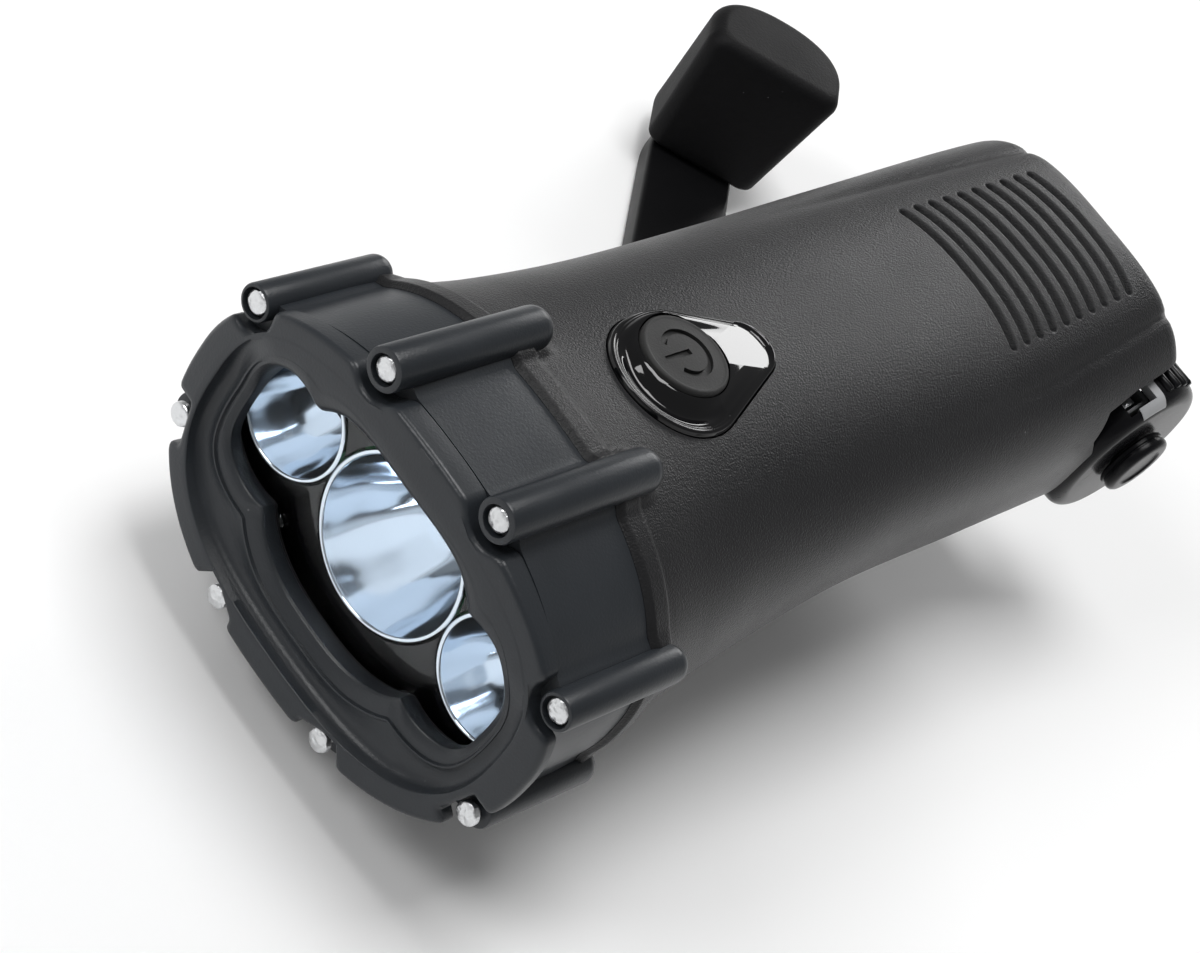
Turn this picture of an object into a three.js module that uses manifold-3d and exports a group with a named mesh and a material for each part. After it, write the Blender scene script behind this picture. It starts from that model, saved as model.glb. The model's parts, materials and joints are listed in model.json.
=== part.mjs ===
import * as THREE from 'three';
import { mergeVertices } from 'three/addons/utils/BufferGeometryUtils.js';
import Module from 'manifold-3d';

const wasm = await Module();
wasm.setup();

// Hand crank flashlight, in millimetres. +X runs to the lamp, +Z to the power button, and +Y to the
// side with the charging socket. The origin is on the crank axis, on the plane that the crank arm
// rests on. "Depth" is the distance behind the flat front of the bezel.
const FRONT_X = 72.5;
const AXIS_Z = 30;
const BODY_LENGTH = 141;
const WALL = 2;
const GAP = 0.3;
const PARTING_Z = AXIS_Z - 6;
// How far a surface may move where near-flat faces are joined.
const SMOOTHING = 0.12;

// Head
const HEAD_DEPTH = 20;
const RIM_THICK = 4;
const RIM = { halfWidth: 33, up: 20.6, down: 23.2, squareUp: 2.15, squareDown: 2.5 };
const MOUTH = { halfWidth: 28.7, up: 17.5, down: 19.3, squareUp: 2.5, squareDown: 2.8 };
const RIM_BOW = 1.9;
const ROD_FRONT = 0.4;
const NOTCH_CLEARANCE = 1.2;
const ROD_OUTER = { y: 30, z: 10.5, end: 24.5, radius: 2.4 };
const ROD_INNER = { y: 10.9, z: 21.8, end: 28.3, radius: 2.8 };
const STUD_RADIUS = 1.6;
const ROD_SIDES = 10;
const BEZEL_EDGE = 0.7;
const BEZEL_SCREW = { length: 20, shank: 0.85, headHeight: 1, bore: 1.2, seat: 1.2, inset: 0.1 };
const WEB_FOOT = 0.6;

// Lamp
const SIDE_LAMP_Y = 19.8;
const CUP_WALL = 0.7;
const SIDE_CUP = { mouth: 6.7, throat: 2.9, depth: 8 };
const CENTRE_CUP = { mouth: 11.4, throat: 3.4, depth: 12 };
const LOBE_MIDDLE = { halfWidth: 17, halfHeight: 14.4 };
const LOBE_SIDE = { y: 17.4, radius: 9.8 };
const COLLAR_DEPTH = 7.8;
const COLLAR_FROM = 2.4;
const COLLAR_OVAL = { halfWidth: 28.6, halfHeight: 17.8 };
const LENS_DEPTH = 9.2;
const LENS_THICK = 1.6;
const LENS_OVAL = { halfWidth: 28.2, halfHeight: 16.2 };
const PLATE_DEPTH = 11.1;
const PLATE_THICK = 1.4;
const LED_BOARD_DEPTH = 25.4;
const LED_BOARD_THICK = 1.6;
const LED_BOARD_OVAL = { halfWidth: 25, halfHeight: 14 };
const LED_SIDE_RADIUS = 2.4;
const LED_CENTRE_RADIUS = 2.8;
const LED_BASE = 2.2;

// Body sections from the back of the bezel to the tail. Each row holds the depth, the half width,
// the height of the widest level over the lamp axis, the rise above it, the drop below it, and the
// squareness of the section.
const BODY_SECTIONS = [
  [4, 31.3, 0, 20.6, 20.6, 2.3],
  [20, 31.0, 0, 21.2, 21.0, 2.3],
  [34, 28.7, 0.4, 20.5, 20.4, 2.35],
  [50, 26.9, 1.4, 20.0, 19.2, 2.4],
  [72, 25.5, 4.6, 17.7, 20.1, 2.5],
  [104, 25.3, 5.8, 18.0, 21.0, 2.65],
  [133, 25.0, 5.6, 20.6, 19.5, 2.8],
  [BODY_LENGTH, 24.6, 5.4, 21.2, 18.8, 2.85],
];
const RING_POINTS = 48;
const INNER_POINTS = 28;
const BODY_SIDES = 30;
const BODY_RINGS = 9;
const HOLLOW_SIDES = 24;
const HOLLOW_RINGS = 6;
const COLLAR_END = 24.6;
const COLLAR_RISE = 0.8;
const TAIL_EDGE = 4.5;
const TAIL_SAG = -2.5;
const SAG_START = 120;

// Case screws that join the two shells from below, each [x, y]
const CASE_SCREWS = [[38, 16.5], [38, -16.5], [-46, 16.5], [-46, -16.5]];
const CASE_SCREW = { head: 1.9, headHeight: 1.4, shank: 1, sunk: 0.7, tipAbove: 13 };
const CASE_BORE = { post: 3.3, shank: 1.3, head: 2.3, headDepth: 2.4 };

// Power button
const BUTTON_DEPTH = 45.2;
const BUTTON_Y = -1.2;
const BUTTON_PROUD = 2;
const PEAR_DEPTH = 43.4;
const PEAR_WIDE = 9.3;
const PEAR_NARROW = 4.4;
const PEAR_LENGTH = 13.4;
const BUTTON_RADIUS = 5.9;
const BUTTON_TRAVEL = 1;
const PAD_HEIGHT = 7.8;
const PAD_FLANGE = 1;
const DISH_INSET = 1.7;
const DISH_DEPTH = 0.9;
const SWITCH = { half: 3, height: 3.4, stemRadius: 1.6, stemHeight: 1.2 };
const MAIN_BOARD = { from: 6, to: 40, halfWidth: 13, thick: 1.6 };

// Grip grooves
const GROOVE_COUNT = 10;
const GROOVE_FIRST = 104;
const GROOVE_LAST = 132;
const GROOVE_HALF_FIRST = 12.75;
const GROOVE_HALF_LAST = 11.65;
const GROOVE_RADIUS = 0.85;
const GROOVE_CUT = 0.8;

// Crank, drawn with the arm along +X and then turned to its place
const CRANK_ANGLE = THREE.MathUtils.degToRad(219.5);
const CRANK_RADIUS = 95;
const ARM_THICK = 4.6;
const ARM_HALF_ROOT = 5.6;
const ARM_HALF = 7.5;
const ARM_NECK = 14;
const ARM_END_START = 89;
const ARM_END_LENGTH = 12.5;
const FOLD_X = -3;
const FOLD_PIN_RADIUS = 1.1;
const HUB_RADIUS = 11.4;
const HUB_TOP = 7;
const HUB_SLOT_TOP = ARM_THICK + GAP;
const SHAFT_RADIUS = 3;
const SPIGOT_RADIUS = 1.8;
const BOSS_BOTTOM = HUB_TOP + 0.5;
const BOSS_TOP = 15.6;
const ARM_EDGE = 0.8;
const KNOB_BASE = ARM_THICK + 0.4;
const KNOB_HEIGHT = 20.9;
const KNOB_PIN_RADIUS = 2;
const KNOB_PIN_HEAD = { radius: 3.2, height: 1.3, recess: 3.6, recessDepth: 1.6 };
const KNOB_PIN_LENGTH = 19;
const KNOB_BORE_DEPTH = 16;
const KNOB_MIDDLE_X = 2.6;
const KNOB_MIDDLE_Y = [-0.8, -2.5];

// Gear train: pitch circles meet along the line from the crank axis to the tail
const MODULE = 1;
const PINION_TEETH = 8;
const CRANK_TEETH = 32;
const IDLER_ONE_TEETH = 28;
const IDLER_TWO_TEETH = 24;
const GEAR_Z = 22.2;
const GEAR_THICK = 2.6;
const GEAR_STEP = GEAR_THICK + GAP;
const BACKLASH = 0.24;
const GEAR_PIN_RADIUS = 1;
const GEAR_PLATE_Z = 19.2;
const GEAR_PLATE_THICK = 1.4;
const GEAR_PLATE = { from: -62, to: 9, halfWidth: 10.4 };
// The turn, in teeth, that sets a pinion's gap on a wheel's tooth along -X. A wheel with an even
// number of teeth has a tooth at -X, so a pinion has a gap at +X.
const PINION_PHASE = 0.5;

// Dynamo
const ROTOR_RADIUS = 7;
const STATOR_INNER = 7.6;
const STATOR_OUTER = 10.8;
const DYNAMO_BOTTOM = 32.1;
const DYNAMO_TOP = 43.5;
const STATOR_LID = 1.6;
const STATOR_LEG_Y = 9.2;

// Battery pack: three cells side by side under the roof
const CELL_RADIUS = 5.25;
const CELL_LENGTH = 43;
const BATTERY_X = 3.5;
const BATTERY_Z = 39;

// Charging socket at the tail, under a ribbed drum cover that turns on a capped pivot along Y
const RECESS_Y = 16.6;
const RECESS_OUTLINE = [[121, 20], [125.4, 8], [127.6, -2], [131, -8], [131, -40], [160, -40], [160, 20]];
const POCKET_RADIUS = 14;
const RECESS_WALL = 1.6;
const DRUM_DEPTH = 139;
const DRUM_Z = AXIS_Z + 4.2;
const DRUM_RADIUS = 13;
const DRUM_IN_Y = 18.4;
const DRUM_OUT_Y = 25.8;
const DRUM_WALL = 2.2;
const PIVOT_RADIUS = 2.6;
const CAP_RADIUS = 5.4;
const CAP_HEIGHT = 2.5;
const RIDGE_COUNT = 4;
const RIDGE_FIRST = 84;
const RIDGE_STEP = 9;
const PORT_ANGLE = 60;
const PORT_Y = 21.6;

const MATERIALS = {
  shell: { color: 0x1b1b1c, roughness: 0.62, metalness: 0 },
  gloss: { color: 0x0b0b0c, roughness: 0.12, metalness: 0 },
  rubber: { color: 0x17171a, roughness: 0.8, metalness: 0 },
  chrome: { color: 0xe4e8ec, roughness: 0.08, metalness: 1 },
  steel: { color: 0xb4b6b8, roughness: 0.32, metalness: 1 },
  copper: { color: 0xa8622f, roughness: 0.45, metalness: 0.8 },
  nylon: { color: 0xe6e2d6, roughness: 0.5, metalness: 0 },
  board: { color: 0x1f5a34, roughness: 0.5, metalness: 0 },
  lens: { color: 0xdfe8f0, roughness: 0.05, metalness: 0, transparent: true, opacity: 0.3 },
  led: { color: 0xf4f6ff, roughness: 0.2, metalness: 0 },
  wrap: { color: 0x2a4f88, roughness: 0.4, metalness: 0 },
  grey: { color: 0x8e9094, roughness: 0.45, metalness: 0 },
};

const model = new THREE.Group();

const xAt = (depth) => FRONT_X - depth;

// Welds a closed geometry by position and drops the triangles that have no area.
function weld(geometry) {
  const bare = geometry.clone();
  for (const name of Object.keys(bare.attributes)) {
    if (name !== 'position') bare.deleteAttribute(name);
  }
  const merged = mergeVertices(bare, 1e-4);
  const source = merged.index.array;
  const kept = [];
  for (let i = 0; i < source.length; i += 3) {
    const [a, b, c] = [source[i], source[i + 1], source[i + 2]];
    if (a !== b && b !== c && c !== a) kept.push(a, b, c);
  }
  merged.setIndex(kept);
  return merged;
}

function solid(geometry) {
  const welded = weld(geometry);
  const closed = signedVolume(welded) < 0 ? turnedInsideOut(welded) : welded;
  return new wasm.Manifold(new wasm.Mesh({
    numProp: 3,
    vertProperties: new Float32Array(closed.attributes.position.array),
    triVerts: new Uint32Array(closed.index.array),
  }));
}

function geometryOf(body) {
  const mesh = body.simplify(SMOOTHING).getMesh();
  const geometry = new THREE.BufferGeometry();
  geometry.setAttribute('position', new THREE.BufferAttribute(mesh.vertProperties, 3));
  geometry.setIndex(new THREE.BufferAttribute(mesh.triVerts, 1));
  geometry.computeVertexNormals();
  return geometry;
}

// Adds one named piece to a parent group and returns its mesh.
function addPiece(parent, name, shape, finish) {
  const geometry = shape.isBufferGeometry ? shape : geometryOf(shape);
  const mesh = new THREE.Mesh(geometry, new THREE.MeshStandardMaterial(MATERIALS[finish]));
  mesh.name = name;
  parent.add(mesh);
  return mesh;
}

// A closed skin through rings of equally many points, from the first ring to the last. The end
// rings are closed to their middle points.
function loft(rings) {
  const count = rings[0].length;
  const points = rings.flat();
  const index = [];
  for (let r = 0; r + 1 < rings.length; r += 1) {
    for (let i = 0; i < count; i += 1) {
      const a = r * count + i;
      const b = r * count + ((i + 1) % count);
      index.push(a, b, b + count, a, b + count, a + count);
    }
  }
  const ends = [[0, true], [(rings.length - 1) * count, false]];
  for (const [start, first] of ends) {
    const ring = points.slice(start, start + count);
    const middle = new THREE.Vector3();
    ring.forEach((point) => middle.addScaledVector(point, 1 / count));
    const hub = points.push(middle) - 1;
    for (let i = 0; i < count; i += 1) {
      const a = start + i;
      const b = start + ((i + 1) % count);
      index.push(...(first ? [hub, b, a] : [hub, a, b]));
    }
  }
  const geometry = new THREE.BufferGeometry().setFromPoints(points);
  geometry.setIndex(index);
  return geometry;
}

function signedVolume(geometry) {
  const position = geometry.attributes.position;
  const [a, b, c] = [new THREE.Vector3(), new THREE.Vector3(), new THREE.Vector3()];
  let sum = 0;
  for (let i = 0; i < geometry.index.count; i += 3) {
    a.fromBufferAttribute(position, geometry.index.getX(i));
    b.fromBufferAttribute(position, geometry.index.getX(i + 1));
    c.fromBufferAttribute(position, geometry.index.getX(i + 2));
    sum += a.dot(b.cross(c));
  }
  return sum / 6;
}

function turnedInsideOut(geometry) {
  const index = Array.from(geometry.index.array);
  for (let i = 0; i < index.length; i += 3) {
    [index[i + 1], index[i + 2]] = [index[i + 2], index[i + 1]];
  }
  geometry.setIndex(index);
  return geometry;
}

// A round bar along +Z from zFrom to zTo.
function barZ(radius, zFrom, zTo, sides = 24, x = 0, y = 0) {
  const bar = new THREE.CylinderGeometry(radius, radius, zTo - zFrom, sides);
  bar.rotateX(Math.PI / 2);
  bar.translate(x, y, (zFrom + zTo) / 2);
  return solid(bar);
}

function barX(radius, xFrom, xTo, y, z, sides = 16) {
  const bar = new THREE.CylinderGeometry(radius, radius, xTo - xFrom, sides);
  bar.rotateZ(Math.PI / 2);
  bar.translate((xFrom + xTo) / 2, y, z);
  return solid(bar);
}

function barY(radius, yFrom, yTo, x, z, sides = 24) {
  const bar = new THREE.CylinderGeometry(radius, radius, yTo - yFrom, sides);
  bar.translate(x, (yFrom + yTo) / 2, z);
  return solid(bar);
}

function block(xFrom, xTo, yFrom, yTo, zFrom, zTo) {
  const box = new THREE.BoxGeometry(xTo - xFrom, yTo - yFrom, zTo - zFrom);
  box.translate((xFrom + xTo) / 2, (yFrom + yTo) / 2, (zFrom + zTo) / 2);
  return solid(box);
}

// An outline in X and Y, raised from zFrom to zTo.
function prism(shape, zFrom, zTo, curveSegments = 8) {
  const raised = new THREE.ExtrudeGeometry(shape, {
    depth: zTo - zFrom,
    bevelEnabled: false,
    curveSegments,
  });
  raised.translate(0, 0, zFrom);
  return solid(raised);
}

// A body of revolution about Z from a closed or axis-to-axis profile of [radius, height] pairs.
function turned(profile, sides = 32) {
  return solid(new THREE.LatheGeometry(profile.map(([r, z]) => new THREE.Vector2(r, z)), sides)
    .rotateX(Math.PI / 2));
}

function union(bodies) {
  return bodies.reduce((sum, body) => sum.add(body));
}

// Housing

const sectionTable = new THREE.CubicInterpolant(
  BODY_SECTIONS.map((row) => row[0]),
  BODY_SECTIONS.flatMap((row) => row.slice(1)),
  5,
);

function sectionAt(depth, inset) {
  const [halfWidth, middle, up, down, squareness] = sectionTable.evaluate(depth);
  return { halfWidth: halfWidth - inset, middle, up: up - inset, down: down - inset, squareness };
}

function superPoint(angle, halfWidth, halfHeight, squareness) {
  const power = 2 / squareness;
  const [c, s] = [Math.cos(angle), Math.sin(angle)];
  return [
    Math.sign(c) * halfWidth * Math.abs(c) ** power,
    Math.sign(s) * halfHeight * Math.abs(s) ** power,
  ];
}

function sagShift(depth, y) {
  const share = THREE.MathUtils.smoothstep(depth, SAG_START, BODY_LENGTH);
  return TAIL_SAG * share * (y / sectionAt(BODY_LENGTH, 0).halfWidth) ** 2;
}

// One ring of the housing: the section at a depth, drawn in by an inset and scaled to its middle.
function bodyRing(depth, inset, scale = 1, sides = BODY_SIDES) {
  const { halfWidth, middle, up, down, squareness } = sectionAt(depth, inset);
  return Array.from({ length: sides }, (_, i) => {
    const angle = (i / sides) * Math.PI * 2;
    const halfHeight = Math.sin(angle) > 0 ? up : down;
    const [y, z] = superPoint(angle, halfWidth * scale, halfHeight * scale, squareness);
    return new THREE.Vector3(xAt(depth) + sagShift(depth, y), y, AXIS_Z + middle + z);
  });
}

// The filled housing form from one depth to the rounded tail, drawn in all round by an inset.
function bodyForm(depthFrom, inset, sides = BODY_SIDES, rings = BODY_RINGS) {
  const depthTo = BODY_LENGTH - inset;
  const edge = Math.max(TAIL_EDGE - inset, 1);
  const run = depthTo - edge - depthFrom;
  const list = [];
  for (let i = 0; i <= rings; i += 1) {
    list.push(bodyRing(depthFrom + (run * i) / rings, inset, 1, sides));
  }
  for (let i = 1; i <= 3; i += 1) {
    const turn = (i / 3) * (Math.PI / 2);
    const depth = depthTo - edge * (1 - Math.sin(turn));
    list.push(bodyRing(depth, inset + edge * (1 - Math.cos(turn)), 1, sides));
  }
  list.push(bodyRing(depthTo, inset + edge, 0.5, sides));
  return solid(loft(list));
}

// The eight rods round the head, from the far upper one round the top to the far lower one. The
// upper four reach to the front beside the rim, the lower four end behind it.
function rodPlaces() {
  const placed = (kind, sy, sz) => {
    const y = sy * kind.y;
    const front = sz > 0 ? ROD_FRONT + bowAt(y) : RIM_THICK + GAP;
    const notch = sz > 0 ? kind.radius + NOTCH_CLEARANCE : STUD_RADIUS + GAP;
    return { ...kind, y, z: sz * kind.z, front, notch };
  };
  const outer = (sy, sz) => placed(ROD_OUTER, sy, sz);
  const inner = (sy, sz) => placed(ROD_INNER, sy, sz);
  return [outer(-1, 1), inner(-1, 1), inner(1, 1), outer(1, 1),
    outer(1, -1), inner(1, -1), inner(-1, -1), outer(-1, -1)];
}

// How far the bowed front of the head lies behind its middle.
const bowAt = (y) => RIM_BOW * (y / ROD_OUTER.y) ** 2;

// A rod of the head with a rounded rear end, between two depths.
function rod({ y, z, radius }, from, to, rounded) {
  if (!rounded) return barX(radius, xAt(to), xAt(from), y, AXIS_Z + z, ROD_SIDES);
  const profile = [[0, 0], [radius * 0.5, radius * 0.13], [radius * 0.87, radius * 0.5], [radius, radius],
    [radius, to - from], [0, to - from]];
  const body = new THREE.LatheGeometry(profile.map(([r, h]) => new THREE.Vector2(r, h)), ROD_SIDES);
  body.rotateZ(-Math.PI / 2);
  body.translate(xAt(to), y, AXIS_Z + z);
  return solid(body);
}

// The fin that carries a rod on the narrower housing behind the head.
function rodWeb({ y, z, end, radius }) {
  const half = radius * 0.85;
  const lean = Math.atan2(z, y);
  const corner = (reach, side) => [
    y * reach - Math.sin(lean) * half * side,
    z * reach + Math.cos(lean) * half * side,
  ];
  const corners = [corner(1, 1), corner(WEB_FOOT, 1), corner(WEB_FOOT, -1), corner(1, -1)];
  const ringAt = (depth) => corners.map(([py, pz]) => new THREE.Vector3(xAt(depth), py, AXIS_Z + pz));
  return solid(loft([ringAt(HEAD_DEPTH), ringAt(end - radius * 0.5)]));
}

// A ring round the lamp axis from its reach at each polar angle. The bow share bends it back with
// the front of the head.
function polarRing(depth, reachAt, bow = 0, count = RING_POINTS) {
  return Array.from({ length: count }, (_, i) => {
    const angle = (i / count) * Math.PI * 2;
    const reach = reachAt(Math.cos(angle), Math.sin(angle));
    const y = reach * Math.cos(angle);
    return new THREE.Vector3(xAt(depth + bow * bowAt(y)), y, AXIS_Z + reach * Math.sin(angle));
  });
}

const ovalReach = (c, s, halfWidth, halfHeight, squareness) => (
  (Math.abs(c / halfWidth) ** squareness + Math.abs(s / halfHeight) ** squareness) ** (-1 / squareness)
);

// An oval drawn in by an inset, with its own height and squareness above and below the lamp axis.
function ovalRing(depth, { halfWidth, up, down, squareUp, squareDown }, inset, bow = 0, count = RING_POINTS) {
  return polarRing(depth, (c, s) => (s > 0
    ? ovalReach(c, s, halfWidth - inset, up - inset, squareUp)
    : ovalReach(c, s, halfWidth - inset, down - inset, squareDown)), bow, count);
}

// The three-lobed outline of the lamp opening, grown all round: a wide middle lobe and a round
// lobe on each side.
function lobedRing(depth, grow, bow = 0) {
  return polarRing(depth, (c, s) => {
    const middle = ovalReach(c, s, LOBE_MIDDLE.halfWidth + grow, LOBE_MIDDLE.halfHeight + grow, 2.5);
    const root = (LOBE_SIDE.radius + grow) ** 2 - (LOBE_SIDE.y * s) ** 2;
    return root > 0 ? Math.max(middle, LOBE_SIDE.y * Math.abs(c) + Math.sqrt(root)) : middle;
  }, bow);
}

function ovalSolid(depthFrom, depthTo, oval) {
  return solid(loft([depthFrom, depthTo].map((depth) => ovalRing(depth, oval, 0, 0, INNER_POINTS))));
}

const evenOval = ({ halfWidth, halfHeight }) => (
  { halfWidth, up: halfHeight, down: halfHeight, squareUp: 2.3, squareDown: 2.3 }
);

// The front ring: a bowed rim with a notch at every rod, and a collar whose mouth narrows in two
// slopes from an oval to the three-lobed opening.
function makeBezel() {
  const plate = solid(loft([
    ovalRing(0, RIM, BEZEL_EDGE, 1),
    ovalRing(BEZEL_EDGE, RIM, 0, 1),
    ovalRing(RIM_THICK, RIM, 0.4),
  ]));
  const collar = ovalSolid(COLLAR_FROM, COLLAR_DEPTH, evenOval(COLLAR_OVAL));
  const mouth = solid(loft([
    ovalRing(-1.2, MOUTH, -0.4, 1),
    ovalRing(0, MOUTH, 0, 1),
    ovalRing(1.8, MOUTH, 0.9, 0.8),
    lobedRing(2.5, 2.2, 0.6),
    lobedRing(3.7, 0, 0.4),
    lobedRing(COLLAR_DEPTH + 1, 0),
  ]));
  const notches = rodPlaces().map(({ y, z, notch }) => (
    barX(notch, xAt(RIM_THICK + 1), FRONT_X + 1, y, AXIS_Z + z, 14)
  ));
  addPiece(model, 'bezel', plate.subtract(union(notches)).add(collar).subtract(mouth), 'shell');
}

function screwBore({ y, z }, depthTo) {
  const front = ROD_FRONT + bowAt(y);
  const shank = barX(BEZEL_SCREW.bore, xAt(depthTo), FRONT_X + 1, y, AXIS_Z + z, 6);
  const seatEnd = xAt(front + BEZEL_SCREW.seat);
  const seat = barX(STUD_RADIUS + GAP, seatEnd, FRONT_X + 1, y, AXIS_Z + z, 8);
  return shank.add(seat);
}

function makeHeadShell() {
  const from = RIM_THICK + GAP;
  const to = HEAD_DEPTH - GAP;
  const skin = solid(loft([bodyRing(from, 0), bodyRing((from + to) / 2, 0), bodyRing(to, 0)]));
  const hollow = solid(loft([bodyRing(from - 1, WALL + 0.3), bodyRing(to + 1, WALL + 0.3)]));
  const rods = rodPlaces().map((place) => rod(place, place.front, to, false));
  const bores = rodPlaces().map((place) => screwBore(place, HEAD_DEPTH + 1));
  const shell = skin.add(union(rods)).subtract(hollow).subtract(union(bores));
  addPiece(model, 'head_shell', shell, 'shell');
}

function makeBezelScrews() {
  const { length, shank, headHeight, inset } = BEZEL_SCREW;
  const profile = [
    [0, 0],
    [shank, 0],
    [shank, length - headHeight],
    [STUD_RADIUS, length - headHeight],
    [STUD_RADIUS * 0.8, length],
    [0, length],
  ];
  rodPlaces().forEach(({ y, z }, i) => {
    const mesh = addPiece(model, `bezel_screw_${i + 1}`, turned(profile, 8), 'steel');
    mesh.rotation.y = Math.PI / 2;
    mesh.position.set(xAt(ROD_FRONT + bowAt(y)) - length - inset, y, AXIS_Z + z);
  });
}

// The raised band round the housing just behind the head.
function makeCollar() {
  return solid(loft([
    bodyRing(HEAD_DEPTH, -COLLAR_RISE),
    bodyRing(COLLAR_END - 1, -COLLAR_RISE),
    bodyRing(COLLAR_END, 0),
  ]));
}

// The room for the drum in the lower near corner of the tail, grown all round by a margin.
function tailCut(grow) {
  const outline = new THREE.Shape(RECESS_OUTLINE.map(([depth, height]) => (
    new THREE.Vector2(xAt(depth) + grow, AXIS_Z + height + Math.sign(height) * grow)
  )));
  const corner = prism(outline, -60, grow - RECESS_Y).rotate([90, 0, 0]);
  return corner.add(barY(POCKET_RADIUS + grow, RECESS_Y - grow, 60, xAt(DRUM_DEPTH), DRUM_Z, 28));
}

// The whole hollow housing with its outside features, before it is parted into two shells. Its
// lower near corner at the tail is cut away for the charging socket.
function makeHousing() {
  const outside = bodyForm(HEAD_DEPTH, 0);
  const rods = rodPlaces().map((place) => rod(place, HEAD_DEPTH, place.end, true));
  const webs = rodPlaces().map(rodWeb);
  const hollow = bodyForm(HEAD_DEPTH - 2, WALL, HOLLOW_SIDES, HOLLOW_RINGS);
  const bores = rodPlaces().map((place) => screwBore(place, place.end - 1.5));
  return outside
    .add(makeCollar())
    .add(union(rods))
    .add(union(webs))
    .subtract(hollow)
    .add(outside.intersect(tailCut(RECESS_WALL)))
    .add(casePosts())
    .subtract(tailCut(0))
    .subtract(union(bores));
}

// The level of the outer underside at a place on the housing.
function undersideAt(x, y) {
  const { halfWidth, middle, down, squareness } = sectionAt(FRONT_X - x, 0);
  const share = (1 - Math.abs(y / halfWidth) ** squareness) ** (1 / squareness);
  return AXIS_Z + middle - down * share;
}

function casePosts() {
  const posts = CASE_SCREWS.map(([x, y]) => barZ(CASE_BORE.post, 5, 60, 6, x, y));
  return union(posts).intersect(bodyForm(HEAD_DEPTH, WALL / 2));
}

function pearShape(grow) {
  const wide = PEAR_WIDE + grow;
  const narrow = PEAR_NARROW + grow;
  const lean = Math.acos((wide - narrow) / PEAR_LENGTH);
  const shape = new THREE.Shape();
  const x = xAt(PEAR_DEPTH);
  shape.absarc(x, 0, wide, -(Math.PI - lean), Math.PI - lean, false);
  shape.absarc(x - PEAR_LENGTH, 0, narrow, Math.PI - lean, Math.PI + lean, false);
  return shape;
}

function grooveCutter() {
  const cuts = Array.from({ length: GROOVE_COUNT }, (_, i) => {
    const share = i / (GROOVE_COUNT - 1);
    const x = xAt(THREE.MathUtils.lerp(GROOVE_FIRST, GROOVE_LAST, share));
    const half = THREE.MathUtils.lerp(GROOVE_HALF_FIRST, GROOVE_HALF_LAST, share) - GROOVE_RADIUS;
    const slot = new THREE.Shape();
    slot.absarc(x, half, GROOVE_RADIUS, 0, Math.PI, false);
    slot.absarc(x, -half, GROOVE_RADIUS, Math.PI, Math.PI * 2, false);
    return prism(slot, AXIS_Z + 15, AXIS_Z + 30, 2);
  });
  return union(cuts).subtract(bodyForm(HEAD_DEPTH, GROOVE_CUT));
}

function caseScrewBores() {
  const { shank, head, headDepth } = CASE_BORE;
  const boreTop = PARTING_Z + CASE_SCREW.tipAbove + 1;
  return union(CASE_SCREWS.map(([x, y]) => {
    const sinking = barZ(head, 5, undersideAt(x, y) + headDepth, 8, x, y);
    return barZ(shank, 5, boreTop, 6, x, y).add(sinking);
  }));
}

function makeTopShell(housing) {
  const upper = block(-120, 80, -60, 60, PARTING_Z + GAP / 2, 80);
  const window = prism(pearShape(GAP), AXIS_Z + 10, 70, 8);
  const shell = housing.intersect(upper).subtract(window).subtract(grooveCutter())
    .subtract(caseScrewBores());
  addPiece(model, 'top_shell', shell, 'shell');
}

function makeBottomShell(housing) {
  const lower = block(-120, 80, -60, 60, 0, PARTING_Z - GAP / 2);
  const boss = turned([
    [0, BOSS_BOTTOM],
    [HUB_RADIUS - 0.4, BOSS_BOTTOM],
    [HUB_RADIUS + 1.6, BOSS_TOP],
    [0, BOSS_TOP],
  ], 24);
  const bearing = barZ(SHAFT_RADIUS + 2.4, BOSS_TOP - 0.6, GEAR_PLATE_Z - GAP, 16);
  const ribs = [-60, -24].map((x) => (
    block(x - 1, x + 1, -9, 9, 15, GEAR_PLATE_Z - GAP)
  ));
  const shell = housing.intersect(lower).add(boss).add(bearing).add(union(ribs))
    .subtract(barZ(SHAFT_RADIUS + GAP, 0, 30, 16))
    .subtract(caseScrewBores());
  addPiece(model, 'bottom_shell', shell, 'shell');
}

function makeCaseScrews() {
  const { head, headHeight, shank, sunk, tipAbove } = CASE_SCREW;
  CASE_SCREWS.forEach(([x, y], i) => {
    const foot = undersideAt(x, y) + sunk;
    const tip = PARTING_Z + tipAbove - foot;
    const screw = turned([
      [0, 0],
      [head, 0],
      [head, headHeight],
      [shank, headHeight],
      [shank, tip],
      [0, tip],
    ], 8);
    const mesh = addPiece(model, `case_screw_${i + 1}`, screw, 'steel');
    mesh.position.set(x, y, foot);
  });
}

// Lamp

// A reflector cup about the lamp axis: a thin bowl with a rim, open at its throat.
function cupProfile({ mouth, throat, depth }) {
  const steps = 3;
  const inner = Array.from({ length: steps + 1 }, (_, i) => {
    const share = i / steps;
    return [throat + (mouth - throat) * Math.sqrt(share), depth * share];
  });
  const outer = inner.map(([r, h]) => [r + CUP_WALL, h]).reverse();
  return [...inner, ...outer, inner[0]];
}

function placeOnLamp(mesh, y, depth) {
  mesh.rotation.y = Math.PI / 2;
  mesh.position.set(xAt(depth), y, AXIS_Z);
}

function makeReflector(name, y, cup) {
  const bowl = turned(cupProfile(cup), 16);
  placeOnLamp(addPiece(model, name, bowl, 'chrome'), y, PLATE_DEPTH + cup.depth);
}

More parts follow.
